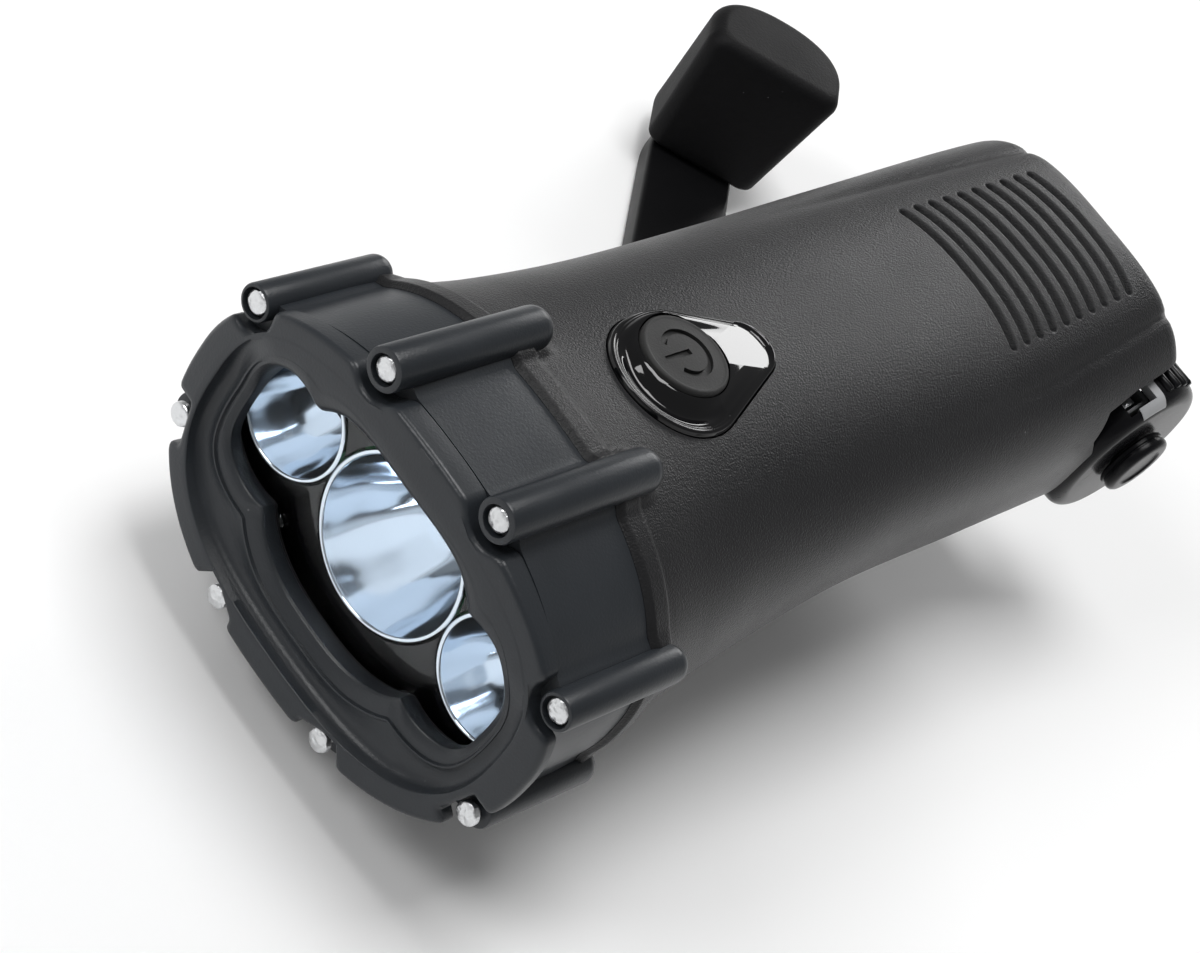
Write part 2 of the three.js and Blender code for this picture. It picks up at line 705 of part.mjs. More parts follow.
function makeLed(name, y, radius) {
  const base = LED_BASE;
  const steps = 3;
  const dome = Array.from({ length: steps }, (_, i) => {
    const turn = ((i + 1) / steps) * (Math.PI / 2);
    return [radius * Math.cos(turn), base + radius * Math.sin(turn)];
  });
  dome[steps - 1][0] = 0;
  const led = turned([[0, 0], [radius, 0], [radius, base], ...dome], 10);
  placeOnLamp(addPiece(model, name, led, 'led'), y, LED_BOARD_DEPTH - GAP);
}

function makeLamp() {
  const seat = evenOval(LENS_OVAL);
  const lens = ovalSolid(LENS_DEPTH, LENS_DEPTH + LENS_THICK, seat);
  addPiece(model, 'front_lens', lens, 'lens');
  const hole = solid(loft([lobedRing(COLLAR_DEPTH, 0.3), lobedRing(LENS_DEPTH, 0.3)])).simplify(0.2);
  const gasket = ovalSolid(COLLAR_DEPTH + GAP, LENS_DEPTH - GAP, seat).subtract(hole);
  addPiece(model, 'lens_gasket', gasket, 'rubber');
  const cups = [[-SIDE_LAMP_Y, SIDE_CUP], [0, CENTRE_CUP], [SIDE_LAMP_Y, SIDE_CUP]];
  const holes = cups.map(([y, { mouth }]) => (
    barX(mouth + CUP_WALL + GAP, xAt(PLATE_DEPTH + 9), xAt(PLATE_DEPTH - 1), y, AXIS_Z, 16)
  ));
  const plate = ovalSolid(PLATE_DEPTH, PLATE_DEPTH + PLATE_THICK, seat)
    .subtract(union(holes));
  addPiece(model, 'reflector_plate', plate, 'gloss');
  makeReflector('reflector_far', -SIDE_LAMP_Y, SIDE_CUP);
  makeReflector('reflector_centre', 0, CENTRE_CUP);
  makeReflector('reflector_near', SIDE_LAMP_Y, SIDE_CUP);
  makeLed('led_far', -SIDE_LAMP_Y, LED_SIDE_RADIUS);
  makeLed('led_centre', 0, LED_CENTRE_RADIUS);
  makeLed('led_near', SIDE_LAMP_Y, LED_SIDE_RADIUS);
  const boardTo = LED_BOARD_DEPTH + LED_BOARD_THICK;
  const board = ovalSolid(LED_BOARD_DEPTH, boardTo, evenOval(LED_BOARD_OVAL));
  addPiece(model, 'led_board', board, 'board');
}

// Button

function makeButton() {
  const skin = prism(pearShape(0), AXIS_Z + 10, 70, 8)
    .intersect(bodyForm(HEAD_DEPTH, -0.9))
    .subtract(bodyForm(HEAD_DEPTH, WALL + 0.6));
  const dish = prism(pearShape(-DISH_INSET), AXIS_Z + 10, 70, 7)
    .subtract(bodyForm(HEAD_DEPTH, DISH_DEPTH));
  const x = xAt(BUTTON_DEPTH);
  const well = barZ(BUTTON_RADIUS + GAP, 30, 70, 20, x, BUTTON_Y);
  addPiece(model, 'button_bezel', skin.subtract(dish).subtract(well), 'gloss');
  const { middle, up } = sectionAt(BUTTON_DEPTH, 0);
  const top = AXIS_Z + middle + up + BUTTON_PROUD;
  const foot = top - PAD_HEIGHT;
  const pad = turned([
    [0, 0],
    [1.8, 0],
    [1.8, 1.6],
    [BUTTON_RADIUS + PAD_FLANGE, 1.6],
    [BUTTON_RADIUS + PAD_FLANGE, 2.4],
    [BUTTON_RADIUS, 2.4],
    [BUTTON_RADIUS, PAD_HEIGHT - 1],
    [BUTTON_RADIUS - 0.5, PAD_HEIGHT - 0.4],
    [BUTTON_RADIUS - 2, PAD_HEIGHT - 0.1],
    [0, PAD_HEIGHT],
  ], 18);
  const mesh = addPiece(model, 'power_button', pad, 'rubber');
  mesh.position.set(x, BUTTON_Y, foot);
  makeSwitch(x, foot - BUTTON_TRAVEL - GAP);
}

// The click switch under the pad, and the board that carries it.
function makeSwitch(x, top) {
  const { half, height, stemRadius, stemHeight } = SWITCH;
  const boardTop = top - height;
  const shoulder = top - stemHeight;
  const tact = block(x - half, x + half, BUTTON_Y - half, BUTTON_Y + half, boardTop + GAP, shoulder)
    .add(barZ(stemRadius, shoulder - 0.4, top, 10, x, BUTTON_Y));
  addPiece(model, 'button_switch', tact, 'gloss');
  const { from, to, halfWidth, thick } = MAIN_BOARD;
  const board = block(from, to, -halfWidth, halfWidth, boardTop - thick, boardTop);
  addPiece(model, 'main_board', board, 'board');
}

// Gears

// A spur gear outline with straight-flanked teeth. The first tooth points along +X when the
// phase is zero.
function gearShape(teeth, bore, phase = 0) {
  const pitchRadius = (MODULE * teeth) / 2;
  const tip = pitchRadius + MODULE * 0.85;
  const root = pitchRadius - MODULE * 1.15;
  const step = (Math.PI * 2) / teeth;
  const halfPitch = (Math.PI * MODULE) / 4 - BACKLASH / 2;
  const shape = new THREE.Shape();
  for (let i = 0; i < teeth; i += 1) {
    const middle = i * step + phase * step;
    const flanks = [
      [root, -halfPitch - MODULE * 0.3],
      [tip, -halfPitch + MODULE * 0.4],
      [tip, halfPitch - MODULE * 0.4],
      [root, halfPitch + MODULE * 0.3],
    ];
    for (const [radius, offset] of flanks) {
      const angle = middle + offset / radius;
      const x = radius * Math.cos(angle);
      const y = radius * Math.sin(angle);
      if (i === 0 && shape.curves.length === 0 && radius === root && offset < 0) shape.moveTo(x, y);
      else shape.lineTo(x, y);
    }
  }
  shape.closePath();
  const hole = new THREE.Path();
  hole.absarc(0, 0, bore, 0, Math.PI * 2, true);
  shape.holes.push(hole);
  return shape;
}

const pitchOf = (teeth) => (MODULE * teeth) / 2;
const IDLER_ONE_X = -(pitchOf(CRANK_TEETH) + pitchOf(PINION_TEETH));
const IDLER_TWO_X = IDLER_ONE_X - pitchOf(IDLER_ONE_TEETH) - pitchOf(PINION_TEETH);
const ROTOR_X = IDLER_TWO_X - pitchOf(IDLER_TWO_TEETH) - pitchOf(PINION_TEETH);

function compoundGear(name, x, wheelTeeth, level) {
  const bore = GEAR_PIN_RADIUS + GAP;
  const low = GEAR_Z + GEAR_STEP * level;
  const pinion = prism(gearShape(PINION_TEETH, bore, PINION_PHASE), low, low + GEAR_STEP + 0.2, 6);
  const wheel = prism(gearShape(wheelTeeth, bore), low + GEAR_STEP, low + GEAR_STEP + GEAR_THICK, 6);
  const mesh = addPiece(model, name, pinion.add(wheel), 'nylon');
  mesh.position.x = x;
}

function makeGearTrain() {
  compoundGear('idler_gear_1', IDLER_ONE_X, IDLER_ONE_TEETH, 0);
  compoundGear('idler_gear_2', IDLER_TWO_X, IDLER_TWO_TEETH, 1);
  const plateTop = GEAR_PLATE_Z + GEAR_PLATE_THICK;
  const { from, to, halfWidth } = GEAR_PLATE;
  const plate = block(from, to, -halfWidth, halfWidth, GEAR_PLATE_Z, plateTop)
    .subtract(barZ(SHAFT_RADIUS + GAP, 0, 30, 16))
    .subtract(barZ(GEAR_PIN_RADIUS + GAP, 0, 30, 8, IDLER_ONE_X, 0))
    .subtract(barZ(GEAR_PIN_RADIUS + GAP, 0, 30, 8, IDLER_TWO_X, 0))
    .subtract(barZ(GEAR_PIN_RADIUS + GAP, 0, 30, 8, ROTOR_X, 0));
  addPiece(model, 'gear_plate', plate, 'steel');
  const r = GEAR_PIN_RADIUS;
  const shoulder = { radius: 2.2, low: GEAR_PLATE_THICK + GAP, high: GEAR_Z - GAP - GEAR_PLATE_Z };
  const length = GEAR_Z + GEAR_STEP * 3 + 1 - GEAR_PLATE_Z;
  [IDLER_ONE_X, IDLER_TWO_X].forEach((x, i) => {
    const pin = turned([
      [0, 0],
      [r, 0],
      [r, shoulder.low],
      [shoulder.radius, shoulder.low],
      [shoulder.radius, shoulder.high],
      [r, shoulder.high],
      [r, length],
      [0, length],
    ], 8);
    const mesh = addPiece(model, `gear_pin_${i + 1}`, pin, 'steel');
    mesh.position.set(x, 0, GEAR_PLATE_Z);
  });
}

function makeDynamo() {
  const pinionLow = GEAR_Z + GEAR_STEP * 2;
  const pinion = prism(gearShape(PINION_TEETH, 0.4, PINION_PHASE), pinionLow, pinionLow + GEAR_THICK, 4);
  const shaft = barZ(GEAR_PIN_RADIUS, GEAR_PLATE_Z, DYNAMO_TOP + 1, 12);
  const magnet = barZ(ROTOR_RADIUS, DYNAMO_BOTTOM + 0.6, DYNAMO_TOP - 2.2, 16);
  const rotor = addPiece(model, 'dynamo_rotor', pinion.add(shaft).add(magnet), 'steel');
  rotor.position.x = ROTOR_X;
  const ring = turned([
    [STATOR_INNER, DYNAMO_BOTTOM],
    [STATOR_OUTER, DYNAMO_BOTTOM],
    [STATOR_OUTER, DYNAMO_TOP],
    [GEAR_PIN_RADIUS + GAP, DYNAMO_TOP],
    [GEAR_PIN_RADIUS + GAP, DYNAMO_TOP - STATOR_LID],
    [STATOR_INNER, DYNAMO_TOP - STATOR_LID],
    [STATOR_INNER, DYNAMO_BOTTOM],
  ], 18);
  const legFoot = GEAR_PLATE_Z + GEAR_PLATE_THICK + GAP;
  const legs = [-STATOR_LEG_Y, STATOR_LEG_Y].map((y) => (
    block(-2, 2, y - 1.2, y + 1.2, legFoot, DYNAMO_BOTTOM + 1)
  ));
  const stator = addPiece(model, 'dynamo_stator', ring.add(union(legs)), 'copper');
  stator.position.x = ROTOR_X;
}

function makeBattery() {
  const cells = [-1, 0, 1].map((i) => barX(CELL_RADIUS, BATTERY_X - CELL_LENGTH, BATTERY_X,
    i * CELL_RADIUS * 1.96, BATTERY_Z, 12));
  addPiece(model, 'battery_pack', union(cells), 'wrap');
}

// Crank

function makeCrank() {
  const crank = new THREE.Group();
  crank.rotation.z = CRANK_ANGLE;
  model.add(crank);
  makeCrankHub(crank);
  makeCrankGear(crank);
  makeCrankArm(crank);
  makeCrankKnob(crank);
}

function makeCrankHub(crank) {
  const edge = 0.8;
  const disc = turned([
    [0, 0],
    [HUB_RADIUS - edge, 0],
    [HUB_RADIUS, edge],
    [HUB_RADIUS, HUB_TOP],
    [SHAFT_RADIUS, HUB_TOP],
    [SHAFT_RADIUS, GEAR_Z - 0.2],
    [SPIGOT_RADIUS, GEAR_Z - 0.2],
    [SPIGOT_RADIUS, GEAR_Z + GEAR_THICK + 1],
    [0, GEAR_Z + GEAR_THICK + 1],
  ], 20);
  const halfSlot = ARM_HALF_ROOT + GAP;
  const slot = block(-20, 20, -halfSlot, halfSlot, -1, HUB_SLOT_TOP);
  const pinHole = barY(FOLD_PIN_RADIUS + GAP, -20, 20, FOLD_X, ARM_THICK / 2, 10);
  addPiece(crank, 'crank_hub', disc.subtract(slot).subtract(pinHole), 'shell');
  const pin = barY(FOLD_PIN_RADIUS, -10.6, 10.6, FOLD_X, ARM_THICK / 2, 10);
  addPiece(crank, 'fold_pin', pin, 'steel');
}

function makeCrankGear(crank) {
  const gear = prism(gearShape(CRANK_TEETH, SPIGOT_RADIUS + GAP), GEAR_Z, GEAR_Z + GEAR_THICK, 8);
  const mesh = addPiece(crank, 'crank_gear', gear, 'nylon');
  mesh.rotation.z = -CRANK_ANGLE;
}

// The flat arm: a bar with a rounded end under the knob, a narrower neck and a rounded hinge barrel
// at the fold pin, its long edges cut back.
function makeCrankArm(crank) {
  const outline = (inset) => {
    const shape = new THREE.Shape();
    const root = ARM_HALF_ROOT - inset;
    const half = ARM_HALF - inset;
    shape.moveTo(FOLD_X, -root);
    shape.lineTo(ARM_NECK, -root);
    shape.lineTo(ARM_NECK * 2, -half);
    shape.absellipse(ARM_END_START, 0, ARM_END_LENGTH - inset, half, -Math.PI / 2, Math.PI / 2, false, 0);
    shape.lineTo(ARM_NECK * 2, half);
    shape.lineTo(ARM_NECK, root);
    shape.lineTo(FOLD_X, root);
    shape.closePath();
    return shape;
  };
  const full = prism(outline(0), ARM_EDGE, ARM_THICK - ARM_EDGE, 6);
  const flat = prism(outline(ARM_EDGE), 0, ARM_THICK, 6);
  const barrel = barY(ARM_THICK / 2, -ARM_HALF_ROOT, ARM_HALF_ROOT, FOLD_X, ARM_THICK / 2, 14);
  const pinHole = barY(FOLD_PIN_RADIUS + GAP, -20, 20, FOLD_X, ARM_THICK / 2, 10);
  const knobHole = barZ(KNOB_PIN_RADIUS + GAP, -1, 10, 14, CRANK_RADIUS, 0)
    .add(barZ(KNOB_PIN_HEAD.recess, -1, KNOB_PIN_HEAD.recessDepth, 14, CRANK_RADIUS, 0));
  const arm = full.add(flat).add(barrel).subtract(pinHole).subtract(knobHole);
  addPiece(crank, 'crank_arm', arm, 'shell');
  const pin = turned([
    [0, 0],
    [KNOB_PIN_HEAD.radius, 0],
    [KNOB_PIN_HEAD.radius, KNOB_PIN_HEAD.height],
    [KNOB_PIN_RADIUS, KNOB_PIN_HEAD.height],
    [KNOB_PIN_RADIUS, KNOB_PIN_LENGTH],
    [0, KNOB_PIN_LENGTH],
  ], 14);
  const mesh = addPiece(crank, 'knob_pin', pin, 'steel');
  mesh.position.set(CRANK_RADIUS, 0, GAP);
}

// One level of the knob: a D with its flat to the crank axis and a rounded back. The knob leans, so
// its middle moves from level to level.
function knobRing(height, halfWidth, flat, back, inset) {
  const perSide = 4;
  const corner = 2.2;
  const points = [];
  const w = halfWidth - inset;
  const f = flat - inset;
  const b = back - inset;
  for (let i = 0; i <= perSide * 4; i += 1) {
    const angle = -Math.PI / 2 + (i / (perSide * 4)) * Math.PI;
    const [x, y] = superPoint(angle, b, w, 2.3);
    points.push([x, y]);
  }
  for (let i = 0; i <= perSide; i += 1) {
    const angle = Math.PI / 2 + (i / perSide) * (Math.PI / 2);
    points.push([-(f - corner) + corner * Math.cos(angle), w - corner + corner * Math.sin(angle)]);
  }
  for (let i = 0; i <= perSide; i += 1) {
    const angle = Math.PI + (i / perSide) * (Math.PI / 2);
    points.push([-(f - corner) + corner * Math.cos(angle), -(w - corner) + corner * Math.sin(angle)]);
  }
  const [low, high] = KNOB_MIDDLE_Y;
  const middleY = THREE.MathUtils.lerp(low, high, height / KNOB_HEIGHT);
  return points.map(([x, y]) => new THREE.Vector3(x + KNOB_MIDDLE_X, y + middleY, height));
}

function makeCrankKnob(crank) {
  const round = 2.2;
  const levels = [
    [0, 9.7, 9, 9.4, 0.8],
    [0.8, 9.7, 9, 9.4, 0],
    [KNOB_HEIGHT - round, 11.8, 6.2, 9.4, 0],
    [KNOB_HEIGHT - round * 0.5, 11.8, 6.1, 9.4, round * 0.14],
    [KNOB_HEIGHT - round * 0.14, 11.8, 6, 9.4, round * 0.5],
    [KNOB_HEIGHT, 11.8, 6, 9.4, round],
  ];
  const body = solid(loft(levels.map((level) => knobRing(...level))));
  const bore = barZ(KNOB_PIN_RADIUS + GAP, -1, KNOB_BORE_DEPTH, 14);
  const knob = addPiece(crank, 'crank_knob', body.subtract(bore), 'rubber');
  knob.position.set(CRANK_RADIUS, 0, KNOB_BASE);
}

// Charging socket and its drum cover

// Turns a body that points to the head from the drum's axis up to the angle of the socket.
function onDrum(body) {
  const x = xAt(DRUM_DEPTH);
  return body.translate([-x, 0, -DRUM_Z]).rotate([0, -PORT_ANGLE, 0]).translate([x, 0, DRUM_Z]);
}

function makeSocket() {
  const x = xAt(DRUM_DEPTH);
  const core = barY(PIVOT_RADIUS, RECESS_Y + GAP, DRUM_OUT_Y + 1.6, x, DRUM_Z, 14)
    .add(barY(DRUM_RADIUS - 5, RECESS_Y + GAP, DRUM_IN_Y + 0.6, x, DRUM_Z, 24))
    .add(onDrum(block(x + 1, x + 10.2, RECESS_Y + 1, PORT_Y + 1.7, DRUM_Z - 2.6, DRUM_Z + 2.6)));
  const port = onDrum(block(x + 4, x + 14, PORT_Y - 1.3, PORT_Y + 1.2, DRUM_Z - 1.9, DRUM_Z + 1.9));
  addPiece(model, 'socket_block', core.subtract(port), 'grey');
  const tongue = onDrum(block(x + 4.3, x + 9.4, PORT_Y - 0.6, PORT_Y + 0.6, DRUM_Z - 1, DRUM_Z + 1));
  addPiece(model, 'charging_socket', tongue, 'steel');
  addPiece(model, 'socket_cover', makeDrum(x), 'shell');
  const cap = addPiece(model, 'cover_pivot_cap', turned([
    [PIVOT_RADIUS + GAP, 0],
    [CAP_RADIUS, 0],
    [CAP_RADIUS, CAP_HEIGHT - 0.8],
    [CAP_RADIUS - 0.7, CAP_HEIGHT],
    [0, CAP_HEIGHT],
    [0, 1.6],
    [PIVOT_RADIUS + GAP, 1.6],
    [PIVOT_RADIUS + GAP, 0],
  ], 16), 'shell');
  cap.rotation.x = -Math.PI / 2;
  cap.position.set(x, DRUM_OUT_Y + GAP, DRUM_Z);
}

// The drum cover: a cup open to the recess, with a window over the socket and grip ridges beside it.
function makeDrum(x) {
  const edge = 1.2;
  const rim = turned([
    [0, DRUM_IN_Y],
    [DRUM_RADIUS, DRUM_IN_Y],
    [DRUM_RADIUS, DRUM_OUT_Y - edge],
    [DRUM_RADIUS - edge, DRUM_OUT_Y],
    [0, DRUM_OUT_Y],
  ], 32).rotate([-90, 0, 0]).translate([x, 0, DRUM_Z]);
  const hollow = barY(DRUM_RADIUS - DRUM_WALL, RECESS_Y, DRUM_OUT_Y - DRUM_WALL, x, DRUM_Z, 20);
  const eye = barY(PIVOT_RADIUS + GAP, RECESS_Y, 40, x, DRUM_Z, 14);
  const window = onDrum(block(x + 6, x + 20, PORT_Y - 1.5, PORT_Y + 2.8, DRUM_Z - 2.7, DRUM_Z + 2.7));
  const ridges = Array.from({ length: RIDGE_COUNT }, (_, i) => {
    const angle = THREE.MathUtils.degToRad(RIDGE_FIRST + i * RIDGE_STEP);
    const reach = DRUM_RADIUS - 0.2;
    return barY(0.8, DRUM_IN_Y + 1.4, DRUM_OUT_Y - edge - 0.2, x + reach * Math.cos(angle),
      DRUM_Z + reach * Math.sin(angle), 6);
  });
  return rim.add(union(ridges)).subtract(hollow).subtract(eye).subtract(window);
}

const housing = makeHousing();
makeBezel();
makeHeadShell();
makeBezelScrews();
makeTopShell(housing);
makeBottomShell(housing);
makeCaseScrews();
makeLamp();
makeButton();
makeGearTrain();
makeDynamo();
makeBattery();
makeCrank();
makeSocket();

export default model;
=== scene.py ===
import json
import math

import bmesh
import bpy
import numpy as np
from mathutils import Matrix, Vector, noise


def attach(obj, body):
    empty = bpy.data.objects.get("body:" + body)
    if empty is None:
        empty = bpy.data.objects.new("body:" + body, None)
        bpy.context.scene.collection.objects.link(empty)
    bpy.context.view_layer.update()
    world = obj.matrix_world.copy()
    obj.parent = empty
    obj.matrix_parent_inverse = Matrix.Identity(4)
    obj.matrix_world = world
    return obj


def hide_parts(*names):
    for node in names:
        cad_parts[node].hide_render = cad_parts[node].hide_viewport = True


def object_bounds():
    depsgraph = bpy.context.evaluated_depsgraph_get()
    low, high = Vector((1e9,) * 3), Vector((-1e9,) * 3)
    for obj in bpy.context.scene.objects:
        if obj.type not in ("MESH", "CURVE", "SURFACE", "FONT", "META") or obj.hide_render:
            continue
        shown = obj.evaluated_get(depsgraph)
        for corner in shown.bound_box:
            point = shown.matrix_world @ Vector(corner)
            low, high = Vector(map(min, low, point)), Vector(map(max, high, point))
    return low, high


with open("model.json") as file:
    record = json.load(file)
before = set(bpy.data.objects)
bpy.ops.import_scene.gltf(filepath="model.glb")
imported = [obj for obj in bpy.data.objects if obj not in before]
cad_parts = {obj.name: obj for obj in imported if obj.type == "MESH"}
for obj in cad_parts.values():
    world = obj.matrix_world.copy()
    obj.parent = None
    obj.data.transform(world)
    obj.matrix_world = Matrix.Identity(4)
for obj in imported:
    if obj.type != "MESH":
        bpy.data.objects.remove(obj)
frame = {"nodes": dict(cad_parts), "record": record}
cad_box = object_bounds()
MM = 0.001

# Driving sizes in millimetres. Depth runs back from the bezel's front. Most are those of the solids; the
# lamp, the grooves, the lower notches and the outline of the tail corner follow the photo more closely.
FRONT_X, AXIS_Z, BODY_LENGTH, GAP = 72.5, 30.0, 141.0, 0.3
HEAD_DEPTH, RIM_THICK, HEAD_WALL = 20.0, 4.0, 2.3

# Housing: depth, half width, middle over the axis, height up and down, and power of the section
SECTIONS = np.array([
    [4, 31.3, 0, 20.6, 20.6, 2.3],
    [20, 31.0, 0, 21.2, 21.0, 2.3],
    [34, 28.7, 0.4, 20.5, 20.4, 2.35],
    [50, 26.9, 1.4, 20.0, 19.2, 2.4],
    [72, 25.5, 4.6, 17.7, 20.1, 2.5],
    [104, 25.3, 5.8, 18.0, 21.0, 2.65],
    [133, 25.0, 5.6, 20.6, 19.5, 2.8],
    [BODY_LENGTH, 24.6, 5.4, 21.2, 18.8, 2.85],
])
COLLAR_END, COLLAR_RISE, LAMP_ROOM = 24.6, 0.8, 30.0
TAIL_EDGE, TAIL_SAG, SAG_START = 4.5, -2.5, 120.0
BODY_ROWS = [(HEAD_DEPTH + 0.01, HEAD_DEPTH + 1.1, 0.12), (HEAD_DEPTH + 1.3, 30, 0.35), (30, 62, 0.45),
             (62, 102.5, 1.2), (102.5, 135.4, 0.15), (135.6, BODY_LENGTH - TAIL_EDGE, 0.6)]
GROOVES = dict(count=10, first=104.6, last=133.0, half_first=12.75, half_last=11.65, radius=0.85, cut=1.1,
               bow=1.35, wall=(0.2, 1.12), lowest=12)
CREASE = dict(depth=[74, 111, 137, 146], y=[19.6, 18.1, 16.0, 15.2], z=[17.5, 20.5, 23.4, 24.5], full=125)
PARTING_Z, SEAM_SINK, SEAM_HALF, SEAM_REACH = AXIS_Z - 6, 0.35, 0.13, 1.5
SHAFT_HOLE, SCREW_SINK = 3.3, 2.3
CASE_SCREWS = [(38, 16.5, 12.6), (38, -16.5, 12.6), (-46, 16.5, 18.0), (-46, -16.5, 18.0)]

# Head and front ring
RIM = dict(half=33.0, up=20.6, down=23.2, sq_up=2.15, sq_down=2.5)
MOUTH = dict(half=28.7, up=17.5, down=19.3, sq_up=2.5, sq_down=2.8)
COLLAR = dict(half=28.6, up=17.8, down=17.8, sq_up=2.3, sq_down=2.3)
COLLAR_DEPTH, BROW_DROP, RIM_EDGE = 6.2, 3.7, 0.8
COVE = ((0.06, 1.3), (0.14, 1.8), (0.26, 2.2), (0.42, 2.45), (0.6, 2.55), (0.8, 2.5), (0.95, 2.4))
INNER_SLOPE = ((0.35, 2.95), (0.6, 3.15), (0.76, 3.3), (0.87, 3.42), (0.94, 3.5))
NOTCH = dict(half=3.3, floor=1.75, length=8, corner=0.8, room=1.2, blend=1.1)
RIM_BOW, ROD_BOW_Y, ROD_FRONT, ROD_EDGE = 1.9, 30.0, 0.4, 0.35
ROD_OUTER = dict(y=30.0, z=10.5, end=24.5, radius=2.4)
ROD_INNER = dict(y=10.9, z=21.8, end=28.3, radius=2.8)
WEB = dict(lift=0.75, width=0.9, before_end=2.0, run=1.5)
STUD_RADIUS, SHANK_RADIUS, SHANK_LENGTH, STUD_TOP, STUD_FOOT = 1.6, 0.85, 19.0, 20.06, 20.15

# Lamp
SIDE_LAMP_Y, PLATE_DEPTH, PLATE_THICK, LED_BOARD_DEPTH = 20.2, 8.0, 1.4, 25.4
SIDE_CUP = dict(mouth=7.75, throat=2.9, depth=11.0, led=2.4)
CENTRE_CUP = dict(mouth=10.95, throat=3.4, depth=14.9, led=2.8)
CUP_LIP, CUP_WALL, FLUTED_RADIUS = 0.35, 0.7, 11.4
LOBES = dict(half=17, up=14.4, power=2.5, side_y=17.4, side_radius=9.8, blend=0.9)
PANE = dict(half=28.2, up=16.2, down=16.2, sq_up=2.3, sq_down=2.3)
LENS_FRONT, LENS_BACK, GASKET_FRONT, GASKET_BACK = 6.65, 7.35, 6.25, 6.6
PLATE_TABS = [(-13.6, -12.6), (13.6, -12.6), (-13.6, 12.6), (13.6, 12.6)]

# Power button
PEAR = dict(x=FRONT_X - 43.4, wide=9.3, narrow=4.4, length=13.4)
BUTTON = dict(x=FRONT_X - 45.2, y=-1.2, radius=6.2, proud=2.0)
SLOPE = dict(start=5.2, rise=1.55, fall=0.105)
BUTTON_SYMBOL = dict(ring=3.3, half=0.42, deep=0.38, bar=(-0.6, 4.0), open_angle=38)

# Crank
CRANK_ANGLE = math.radians(219.5)
CRANK_RADIUS, ARM_THICK, FOLD_X, PIN_BORE = 95.0, 4.6, -3.0, 1.4
ARM = dict(neck=5.6, half=7.5, neck_end=14, wide_from=28, round_from=89, tip=12.5)
KNOB_BASE, KNOB_HEIGHT, KNOB_BACK, KNOB_EDGE, KNOB_CORNER = ARM_THICK + 0.4, 20.9, 9.4, 2.2, 2.4

# Tail: the outline gives the depth and the height over the axis of the corner that is cut away
RECESS_OUTLINE = [(129, 18.0), (122.8, 16.2), (122.2, 11.5), (125.4, 8), (127.6, -2), (131, -8), (131, -40),
                  (160, -40), (160, 21.5), (138.5, 19.5)]
RECESS_Y, POCKET_RADIUS = 16.6, 14.0
DRUM_X, DRUM_Z, DRUM_RADIUS = FRONT_X - 139.0, AXIS_Z + 4.2, 13.0
DRUM_IN_Y, DRUM_OUT_Y, DRUM_WALL, DRUM_EDGE = 18.4, 25.8, 2.2, 2.2
RIDGE_ANGLES = (84, 93, 102, 111)
PORT_ANGLE, PORT_Y, WINDOW_HALF, FRAME_ARC = 60, 21.6, 2.7, (-5, 16)

# Studio, in metres and watts: name, direction from the torch, distance, size and power of each soft box
LAMPS = [
    ("top_box", (-0.05, -0.15, 1.0), 1.0, (0.5, 0.5), 6.6),
    ("back_box", (-0.86, -0.28, 0.42), 1.1, (0.45, 0.28), 3.2),
    ("front_box", (0.66, -0.36, 0.62), 1.1, (0.4, 0.4), 4),
]
LAMP_TARGET = (0, 0, 0.03)
SKY_LOW, SKY_HIGH, HORIZON = 0.7, 0.22, (0.14, 0.30)
FLOOR_COLOUR, FLOOR_REACH, FLOOR_DROP = 0.95, 3000, 0.05
CAMERA_PLACE = (314.36, 105.73, 267.94)
CAMERA_RIGHT, CAMERA_UP, CAMERA_BACK = ((-0.63476, 0.58225, 0.50867), (-0.21923, -0.76605, 0.60455),
                                        (0.74197, 0.27188, 0.61353))
SENSOR_WIDTH, FOCAL_LENGTH = 36, 93

SMOOTH_ANGLE = 35.0


# Meshes

def new_object(name, data):
    obj = bpy.data.objects.new(name, data)
    bpy.context.scene.collection.objects.link(obj)
    return obj


def make_object(name, vertices, faces, smooth=SMOOTH_ANGLE):
    """An object with its corners given in millimetres, smooth up to an angle in degrees."""
    mesh = bpy.data.meshes.new(name)
    mesh.from_pydata([tuple(float(c) * MM for c in v) for v in vertices], [], faces)
    mesh.validate()
    obj = new_object(name, mesh)
    outward(obj)
    smooth_by(obj, smooth)
    return obj


def outward(obj):
    """Turns all faces outwards."""
    work = bmesh.new()
    work.from_mesh(obj.data)
    bmesh.ops.recalc_face_normals(work, faces=work.faces)
    work.to_mesh(obj.data)
    work.free()


def smooth_by(obj, angle):
    obj.data.shade_smooth()
    obj.data.set_sharp_from_angle(angle=math.radians(angle))


def loft(name, rings, closed=False, smooth=SMOOTH_ANGLE):
    """A skin through rings of equally many points. It closes on itself or ends in two flat faces."""
    count, faces = len(rings[0]), []
    rows = len(rings)
    for r in range(rows if closed else rows - 1):
        low, high = r * count, ((r + 1) % rows) * count
        for i in range(count):
            j = (i + 1) % count
            faces.append((low + i, low + j, high + j, high + i))
    if not closed:
        faces.append(tuple(range(count))[::-1])
        faces.append(tuple((rows - 1) * count + i for i in range(count)))
    return make_object(name, np.concatenate(rings), faces, smooth)


